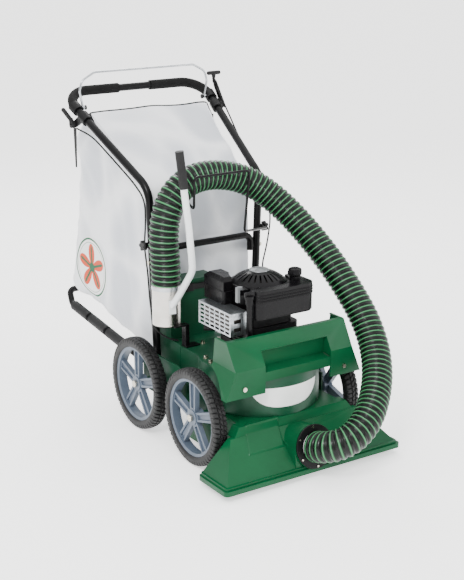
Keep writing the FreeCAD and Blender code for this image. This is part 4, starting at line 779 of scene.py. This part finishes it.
def makeNozzlePanel(target):
    # a bilinear grid between four corners, laid on the slope and raised by a rounded step at its border
    u = np.linspace(0, 1, 60)[:, None]
    v = np.linspace(0, 1, 40)[None, :]
    c = np.array(panel["corners"])
    flat = ((1 - u) * (1 - v))[..., None] * c[0] + (u * (1 - v))[..., None] * c[1] \
        + (u * v)[..., None] * c[2] + ((1 - u) * v)[..., None] * c[3]
    points = np.concatenate([flat, np.full(flat.shape[:2] + (1,), 0.30)], -1).reshape(-1, 3)
    piece = newPiece("nozzle_panel", points, gridFaces(60, 40), "chassis", greenPlastic)
    border = np.minimum(np.minimum(u, 1 - u) * 1.8, np.minimum(v, 1 - v)) * 0.07
    step = np.clip(border / 0.004, 0, 1)
    lift = panel["lift"] * (step * step * (3 - 2 * step)) - 0.0002
    settle(piece, target, project="z-", lift=lift, toward=(0, -0.6, 0.8))
    fixNormals(piece.data)
    return piece


makeNozzlePanel(shaped["floor_nozzle"])

# fuel tank: three moulded ribs round its upper wall
tank = {"drops": (0.018, 0.027, 0.036), "corner": 0.030, "rib": 0.0026}
tankLow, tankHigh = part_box("fuel_tank")


def tankRib(drop, number):
    # an open loop round the left, front and right walls, with quarter-circle corners
    left, right, front = tankLow[0], tankHigh[0], tankLow[1]
    rear, r = -0.322, tank["corner"]
    quarter = np.linspace(0, math.pi / 2, 10)
    leftWall = np.array([[left, front + 0.036], [left, front + r + 0.002]])
    cornerA = np.stack([left + r - r * np.cos(quarter), front + r - r * np.sin(quarter)], 1)
    cornerB = np.stack([right - r + r * np.sin(quarter), front + r - r * np.cos(quarter)], 1)
    rightWall = np.array([[right, front + r + 0.004], [right, rear]])
    flat = np.concatenate([leftWall, cornerA, np.linspace(cornerA[-1], cornerB[0], 12)[1:-1], cornerB, rightWall])
    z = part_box("fuel_cap")[0][2] - 0.010 - drop
    line = np.column_stack([flat, np.full(len(flat), z)])
    return lineTube(f"tank_rib_{number}", line, tank["rib"], "chassis", blackAbs, around=8)


for number, drop in enumerate(tank["drops"]):
    tankRib(drop, number)

# the screen's centre plate, left blank, and the ribbed filler cap
screenLow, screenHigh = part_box("recoil_screen")
screenMiddle = (screenLow + screenHigh) / 2
turned("screen_plate", (screenMiddle[0], screenMiddle[1], screenHigh[2]),
       [(0.001, 0.0022), (0.020, 0.0020), (0.0215, 0.0010), (0.026, 0.0008), (0.030, -0.0006), (0.031, -0.0030),
        (0.001, -0.0032)], bodyOf("recoil_screen"), greyPlate)
capLow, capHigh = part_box("fuel_cap")
capMiddle = (capLow + capHigh) / 2
capR = (capHigh[0] - capLow[0]) / 2
capTall = capHigh[2] - capLow[2]
ribbedCap = turned("fuel_cap_ribbed", (capMiddle[0], capMiddle[1], capLow[2]),
                   [(0.001, 0.0005), (capR * 0.8, 0.0005), (capR * 0.94, 0.003), (capR, 0.005),
                    (capR, capTall * 0.45), (capR, capTall - 0.006), (capR * 0.92, capTall - 0.002), (capR * 0.7, capTall),
                    (capR * 0.55, capTall - 0.002), (0.001, capTall - 0.002)],
                   bodyOf("fuel_cap"), blackAbs, around=144, ribs=24, ribDepth=0.0014)
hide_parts("fuel_cap")
print("engine details ready")
